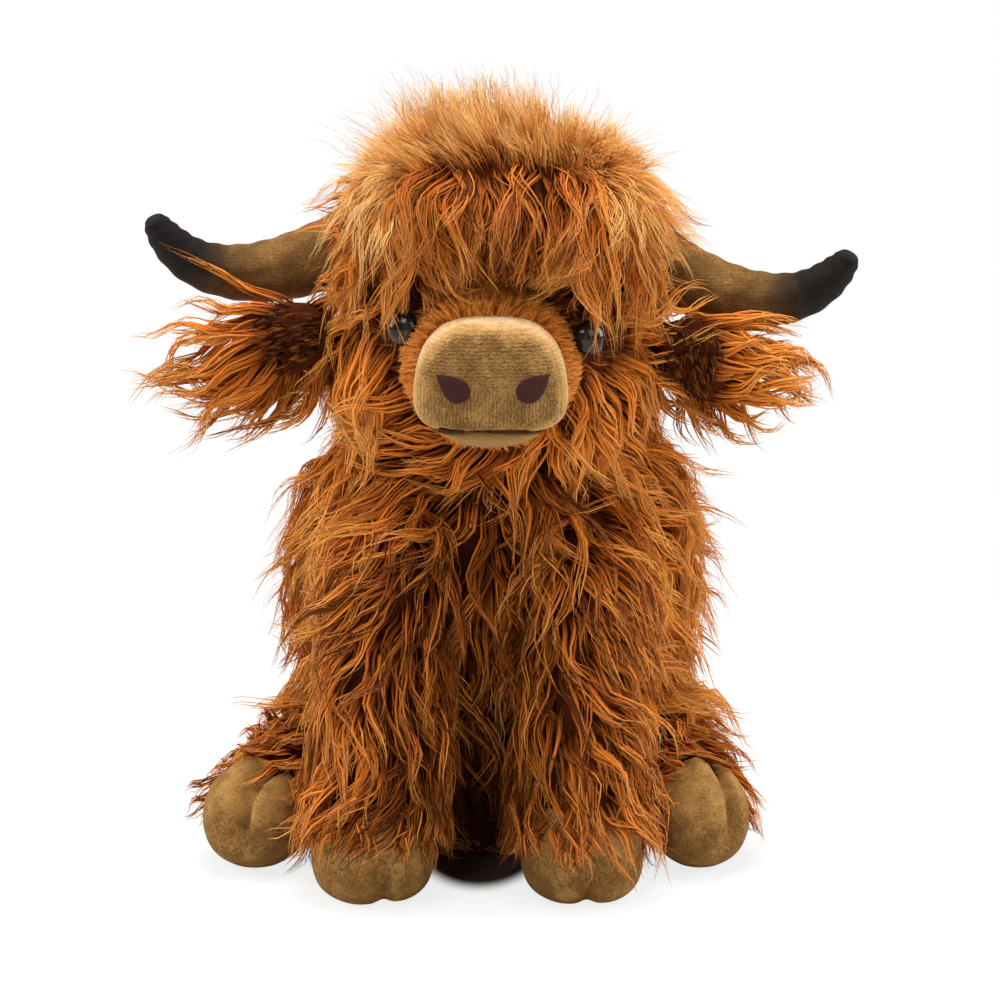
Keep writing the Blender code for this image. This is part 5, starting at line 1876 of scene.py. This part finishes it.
def make_mouth(form):
    """The dark stitched mouth line, which wanders up and down a little:
    z = z0 + 0.5 mm sin(2 pi x / 21 mm) + 0.25 mm sin(2 pi x / 6 mm)."""
    low, high = (np.array(corner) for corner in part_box("mouth_seam"))
    x = np.linspace(low[0] - 0.002, high[0] + 0.002, 160)
    wander = 0.0005 * np.sin(math.tau * x / 0.021) + 0.00025 * np.sin(math.tau * x / 0.006)
    z = (low[2] + high[2]) / 2 - 0.0012 + wander
    y = form.front_at(x - form.middle[0], z - form.middle[2]) - 0.0001
    line = np.stack((x, y, z), -1)
    radius = 0.00050 + 0.00018 * np.sin(math.tau * x / 0.031)
    piece = closed_grid("mouth_stitches", cord_rings(line, radius), thread_material("mouth_thread"))
    dress(piece, "head", "dark_thread", "mouth_seam", fill=0)


def make_nostrils(form):
    """Each nostril is a teardrop of satin stitches: parallel threads across its long axis,
    as long as the teardrop is wide there, and raised in their middle."""
    count = 30
    rows = 14
    place = np.linspace(-0.97, 0.97, count)
    width = 0.94 * (1 - place) * (1 + place) ** 0.5
    for name, side in SIDES:
        low, high = (np.array(corner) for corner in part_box(f"nostril_{name}"))
        middle = (low + high) / 2 + np.array((NOSTRIL_SHIFTS[name], 0, 0))
        angle = math.radians(40.0)
        long_way = np.array((side * math.cos(angle), math.sin(angle)))
        short_way = np.array((side * math.sin(angle), -math.cos(angle)))
        length = (high[2] - low[2]) * 0.57
        half = length * 0.66
        across = np.linspace(-1, 1, rows)
        slant = 0.04 * across[None]
        a = (place[:, None] + slant) * length
        b = width[:, None] * across[None] * half
        x = middle[0] + a * long_way[0] + b * short_way[0]
        z = middle[2] + a * long_way[1] + b * short_way[1]
        raised = 0.0009 * (1 - (across[None] ** 4)) * width[:, None] ** 0.5
        y = form.front_at(x - form.middle[0], z - form.middle[2]) - raised + 0.0002
        centres = np.stack((x, y, z), -1)
        way = unit(np.gradient(centres, axis=1))
        out = np.array((0, -1.0, 0))
        level = unit(np.cross(np.broadcast_to(out, way.shape), way))
        up = np.cross(way, level)
        radii = np.full((count, rows), length / count * 1.12)
        shades = np.full(count, 0.5)
        thread = thread_material(f"nostril_thread_{name}")
        piece = tubes(
            f"nostril_stitches_{name}", centres, level, up, radii, shades, thread, sides=6
        )
        dress(piece, "head", "dark_thread", f"nostril_{name}", fill=0)


class COW_OT_eyes(bpy.types.Operator):
    """Make the two glossy eyes"""

    bl_idname = "cow.eyes"
    bl_label = "Make Eyes"

    def execute(self, context):
        material = eye_material()
        for name, side in SIDES:
            low, high = (np.array(corner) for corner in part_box(f"eye_{name}"))
            radius = (high[2] - low[2]) / 2
            out = unit(np.array((side * math.sin(math.radians(27)), -math.cos(math.radians(27)), 0.07)))
            face = np.array((low[0] if side < 0 else high[0], low[1], (low[2] + high[2]) / 2))
            middle = np.array((face[0] - side * radius * 0.93, low[1] + radius * 0.52, face[2]))
            piece = closed_grid(f"eye_dome_{name}", dome_rings(middle, out, radius), material)
            dress(piece, "head", "glossy_eye", f"eye_{name}", fill=0)
        return {"FINISHED"}


def dome_rings(middle, out, radius):
    """A glossy dome with a rolled rim: rings of radius r sin a at height h cos a, and then the
    rim and the flat back."""
    angles = np.linspace(0.02, math.pi / 2, 30)
    reach = np.concatenate((radius * np.sin(angles), radius * np.array((1.0, 0.97, 0.6, 0.05))))
    back = radius * np.array((-0.08, -0.18, -0.2, -0.2))
    rise = np.concatenate((radius * 0.74 * np.cos(angles), back))
    across = unit(np.cross(out, np.array((0, 0, 1.0))))
    up = np.cross(across, out)
    turn = np.linspace(0, math.tau, 49)[None, :, None]
    rim = across * np.cos(turn) + up * np.sin(turn)
    return middle + reach[:, None, None] * rim + rise[:, None, None] * out


class COW_OT_horns(bpy.types.Operator):
    """Make the two velour horns with their dark tips"""

    bl_idname = "cow.horns"
    bl_label = "Make Horns"

    def execute(self, context):
        for name, side in SIDES:
            line, radii = horn_line(side)
            steps = np.linalg.norm(np.diff(line, axis=0), axis=1)
            length = steps.sum()
            way = unit(np.gradient(line, axis=0))
            across = unit(np.cross(way, np.array((0, 1.0, 0))))
            up = np.cross(across, way)
            share = np.linspace(0, 1, len(line))
            turn = np.linspace(0, math.tau, 49)[None, :, None]
            seam = np.exp(-(((turn - 1.5 * math.pi) / 0.10) ** 2)) * 0.0006
            ripple = 0.00025 * np.sin(share * 70.0)[:, None, None] * np.cos(turn * 2)
            reach = radii[:, None, None] + ripple - seam
            tip = np.sqrt(np.clip(1 - ramp(share, 0.965, 1.06) * 1.6, 0.02, 1))
            rings = line[:, None] + reach * tip[:, None, None] * (
                across[:, None] * np.cos(turn) + up[:, None] * np.sin(turn)
            )
            dark_from = 1 - HORN_DARK_LENGTH / length
            fade_from = dark_from - HORN_FADE_LENGTH / length
            material = horn_material(f"horn_velour_{name}", fade_from, dark_from)
            piece = closed_grid(f"horn_velour_{name}", rings, material)
            dress(piece, "head", "velour", f"horn_{name}", fill=0.9)
        return {"FINISHED"}


class COW_OT_hooves(bpy.types.Operator):
    """Make the four velour hooves with their clefts"""

    bl_idname = "cow.hooves"
    bl_label = "Make Hooves"

    def execute(self, context):
        material = velour_material("hoof_velour", 0.24, 0.10, warm=0.16, speckled=True)
        for name, _ in SIDES:
            node = f"front_hoof_{name}"
            low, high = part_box(node)
            form = LevelForm(low, high, HOOF_SHARES, 0.0)
            grid = cleft_grid(
                form.grid(*HOOF_GRID), form, (0.0, -1.0), FRONT_CLEFT_BAND,
                FRONT_CLEFT_SHARES[name], FRONT_CLEFT_DEPTH,
            )
            piece = closed_grid(f"front_hoof_velour_{name}", grid, material)
            dress(piece, f"front_leg_{name}", "velour", node, fill=0.9)

            node = f"hind_hoof_{name}"
            low, high = (np.array(corner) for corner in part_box(node))
            hip = JOINTS[f"hind_leg_{name}_splay"]
            way = unit(((low + high) / 2 - hip)[:2])
            form = LevelForm(low, high, HIND_HOOF_SHARES, 0.0)
            grid = cleft_grid(
                form.grid(*HOOF_GRID), form, way, HIND_CLEFT_BAND, HIND_CLEFT_SHARE,
                HIND_CLEFT_DEPTH,
            )
            piece = closed_grid(f"hind_hoof_velour_{name}", grid, material)
            dress(piece, f"hind_leg_{name}", "velour", node, fill=0.9)
        return {"FINISHED"}


def cleft_grid(grid, form, way, band, aside, depth):
    """A hoof's points with a cleft in its front, within a band of its height: they sink by
    depth exp(-(x/w)^2), where x is the distance across from the cleft, and each toe swells."""
    middle = np.array((form.x, form.middles.mean()))
    off = grid[..., :2] - middle
    size = form.half_depths.max()
    ahead = (off @ np.array(way)) / size
    across = (off @ np.array((-way[1], way[0]))) / size - aside
    rise = (grid[..., 2] - form.heights[0]) / (form.heights[-1] - form.heights[0])
    over = ramp(rise, 0.70, 1.00) * (band[3] > 1)
    front = np.maximum(ramp(ahead, 0.15, 0.7), over * ramp(ahead, -0.5, 0.0))
    front = front * ramp(rise, band[0], band[1]) * (1 - ramp(rise, band[2], band[3]))
    notch = np.exp(-((across / 0.11) ** 2)) * depth + np.exp(-((across / 0.30) ** 2)) * 0.0016
    swell = np.exp(-(((np.abs(across) - 0.42) / 0.30) ** 2)) * 0.0012
    inwards = np.zeros(grid.shape)
    inwards[..., :2] = np.array(way)
    inwards[..., 2] = over
    grid = grid - inwards * (front * (notch - swell))[..., None]
    grid[..., 2] = np.maximum(grid[..., 2], FLOOR_GAP)
    return grid


class COW_OT_seat(bpy.types.Operator):
    """Make the seat panel and finish the pieces inside the cow"""

    bl_idname = "cow.seat"
    bl_label = "Make Seat and Inner Finishes"

    def execute(self, context):
        c = context.scene.cow_colours
        low, high = (np.array(corner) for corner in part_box("base_panel"))
        middle = (low + high) / 2
        size = (high - low) / 2
        reach = np.array((0.03, 0.30, 0.60, 0.85, 0.90, 0.93, 0.97, 1.00, 1.00, 0.97, 0.60, 0.03))
        rise = np.array((0.00, 0.00, 0.00, 0.00, 0.22, 0.22, 0.02, 0.20, 0.80, 1.00, 1.00, 1.00))
        turn = np.linspace(0, math.tau, 97)
        x = middle[0] + size[0] * reach[:, None] * np.sin(turn)
        y = middle[1] + size[1] * reach[:, None] * np.cos(turn)
        z = FLOOR_GAP / 2 + (high[2] - low[2]) * rise[:, None] + 0 * turn
        cloth = plain_material("seat_cloth", c.rust, blended(c.rust, c.orange, 0.5), 1400.0, 0.9)
        panel = closed_grid("seat_panel", np.stack((x, y, z), -1), cloth)
        dress(panel, "torso", "velour", "base_panel", fill=0.3)

        finishes = {word: plain_material(*finish) for word, finish in INNER_FINISHES.items()}
        for node, piece in frame["nodes"].items():
            for word, material in finishes.items():
                if word in node:
                    piece.data.materials.clear()
                    piece.data.materials.append(material)
        return {"FINISHED"}


class COW_OT_stage(bpy.types.Operator):
    """Make the floor, the lamps, the world and the camera"""

    bl_idname = "cow.stage"
    bl_label = "Make Stage"

    def execute(self, context):
        make_floor()
        make_world()
        scale = context.scene.cow_stage.lamps
        for name, place, size, power in LAMPS:
            lamp(name, place, size, power * scale)
        make_camera()
        return {"FINISHED"}


def cow_middle():
    """The place that the camera and the lamps look at."""
    low, high = CAD_BOX
    return Vector(((low[0] + high[0]) / 2, 0.0, (low[2] + high[2]) * 0.46))


def lamp(name, place, size, power):
    """A soft square lamp that faces the cow."""
    data = bpy.data.lights.new(name, "AREA")
    data.size = size
    data.energy = power
    obj = bpy.data.objects.new(name, data)
    bpy.context.scene.collection.objects.link(obj)
    obj.location = place
    obj.rotation_euler = (cow_middle() - obj.location).to_track_quat("-Z", "Y").to_euler()


def make_floor():
    """A pale floor that fades to the plain background away from the cow, with the deep shadow
    that the photograph has under the belly, between the front legs."""
    corners = FLOOR_REACH * np.array(((-1, -1, 0), (1, -1, 0), (1, 1, 0), (-1, 1, 0)))
    material, tree, shader = new_material("pale_floor", roughness=0.9, specular=0.5)
    place = object_place(tree)
    away = length_of(tree, place)
    fade = eased(tree, away, *FLOOR_FADE, start=0.80, way="SMOOTHSTEP")
    inputs = {"Vector": place, "Location": SHADOW_MIDDLE, "Scale": SHADOW_REACH}
    pool = add_node(tree, "ShaderNodeMapping", inputs, vector_type="TEXTURE").outputs["Vector"]
    lit = eased(tree, length_of(tree, pool), 0.86, 1.06, way="SMOOTHSTEP")
    colour = colour_stops(tree, lit, ((0.0, (0.045, 0.016, 0.009)), (1.0, (0.86, 0.86, 0.86))))
    tree.links.new(colour, shader.inputs["Base Color"])
    share = math_on(tree, "MULTIPLY", seen_share(tree), math_on(tree, "MULTIPLY", fade, lit))
    glow = add_node(tree, "ShaderNodeEmission").outputs["Emission"]
    inputs = {"Fac": share, 1: shader.outputs["BSDF"], 2: glow}
    mix = add_node(tree, "ShaderNodeMixShader", inputs).outputs["Shader"]
    tree.links.new(mix, tree.nodes["Material Output"].inputs["Surface"])
    uvs = np.array(((0, 0), (1, 0), (1, 1), (0, 1)))
    floor = mesh_piece("floor", corners, np.arange(4), np.array((4,)), uvs, material, False)


def length_of(tree, vector):
    """The length of a vector socket."""
    return add_node(tree, "ShaderNodeVectorMath", {0: vector}, operation="LENGTH").outputs["Value"]


def seen_share(tree):
    """One for what the camera sees, straight or in gloss or glass, and else nothing."""
    path = add_node(tree, "ShaderNodeLightPath").outputs
    value = path["Is Camera Ray"]
    for name in ("Is Glossy Ray", "Is Transmission Ray"):
        value = math_on(tree, "MAXIMUM", value, path[name])
    return value


def make_world():
    """A white background, and a dimmer white light from all round."""
    world = bpy.data.worlds.new("studio")
    bpy.context.scene.world = world
    world.use_nodes = True
    tree = world.node_tree
    light = tree.nodes["Background"]
    light.inputs["Color"].default_value = (*WHITE, 1)
    light.inputs["Strength"].default_value = WORLD_STRENGTH
    white = add_node(tree, "ShaderNodeBackground", {"Color": (*WHITE, 1)})
    seen = add_node(tree, "ShaderNodeLightPath").outputs["Is Camera Ray"]
    inputs = {"Fac": seen, 1: light.outputs["Background"], 2: white.outputs["Background"]}
    mix = add_node(tree, "ShaderNodeMixShader", inputs).outputs["Shader"]
    tree.links.new(mix, tree.nodes["World Output"].inputs["Surface"])


def make_camera():
    """The camera of the photograph: in front of the cow and a little above it."""
    stage = bpy.context.scene.cow_stage
    data = bpy.data.cameras.new("camera")
    data.lens = stage.lens
    data.clip_start = 0.01
    obj = bpy.data.objects.new("camera", data)
    bpy.context.scene.collection.objects.link(obj)
    back = Vector((0, -math.cos(stage.elevation), math.sin(stage.elevation)))
    obj.location = cow_middle() + back * stage.distance
    obj.rotation_euler = (-back).to_track_quat("-Z", "Y").to_euler()
    bpy.context.scene.camera = obj
    bpy.context.scene.view_settings.view_transform = "Standard"


class COW_PT_panel(bpy.types.Panel):
    """Lists the steps and the sizes in the sidebar"""

    bl_idname = "COW_PT_panel"
    bl_label = "Plush Cow"
    bl_space_type = "VIEW_3D"
    bl_region_type = "UI"
    bl_category = "Cow"

    def draw(self, context):
        column = self.layout.column()
        for step in STEPS:
            column.operator(step.bl_idname)
        for group in (context.scene.cow_fur, context.scene.cow_colours, context.scene.cow_stage):
            for name in group.bl_rna.properties.keys():
                if name not in ("rna_type", "name"):
                    column.prop(group, name)


STEPS = (
    COW_OT_stage,
    COW_OT_skins,
    COW_OT_seat,
    COW_OT_hooves,
    COW_OT_horns,
    COW_OT_eyes,
    COW_OT_face,
    COW_OT_ears,
    COW_OT_tail,
    COW_OT_forelock,
    COW_OT_head_pile,
    COW_OT_leg_pile,
    COW_OT_body_pile,
)
CLASSES = (CowFurSettings, CowColourSettings, CowStageSettings, *STEPS, COW_PT_panel)


def register():
    for entry in CLASSES:
        bpy.utils.register_class(entry)
    bpy.types.Scene.cow_fur = bpy.props.PointerProperty(type=CowFurSettings)
    bpy.types.Scene.cow_colours = bpy.props.PointerProperty(type=CowColourSettings)
    bpy.types.Scene.cow_stage = bpy.props.PointerProperty(type=CowStageSettings)


def unregister():
    del bpy.types.Scene.cow_stage
    del bpy.types.Scene.cow_colours
    del bpy.types.Scene.cow_fur
    for entry in reversed(CLASSES):
        bpy.utils.unregister_class(entry)


def main():
    register()
    for step in STEPS:
        group, name = step.bl_idname.split(".")
        getattr(getattr(bpy.ops, group), name)()


if __name__ == "__main__":
    main()
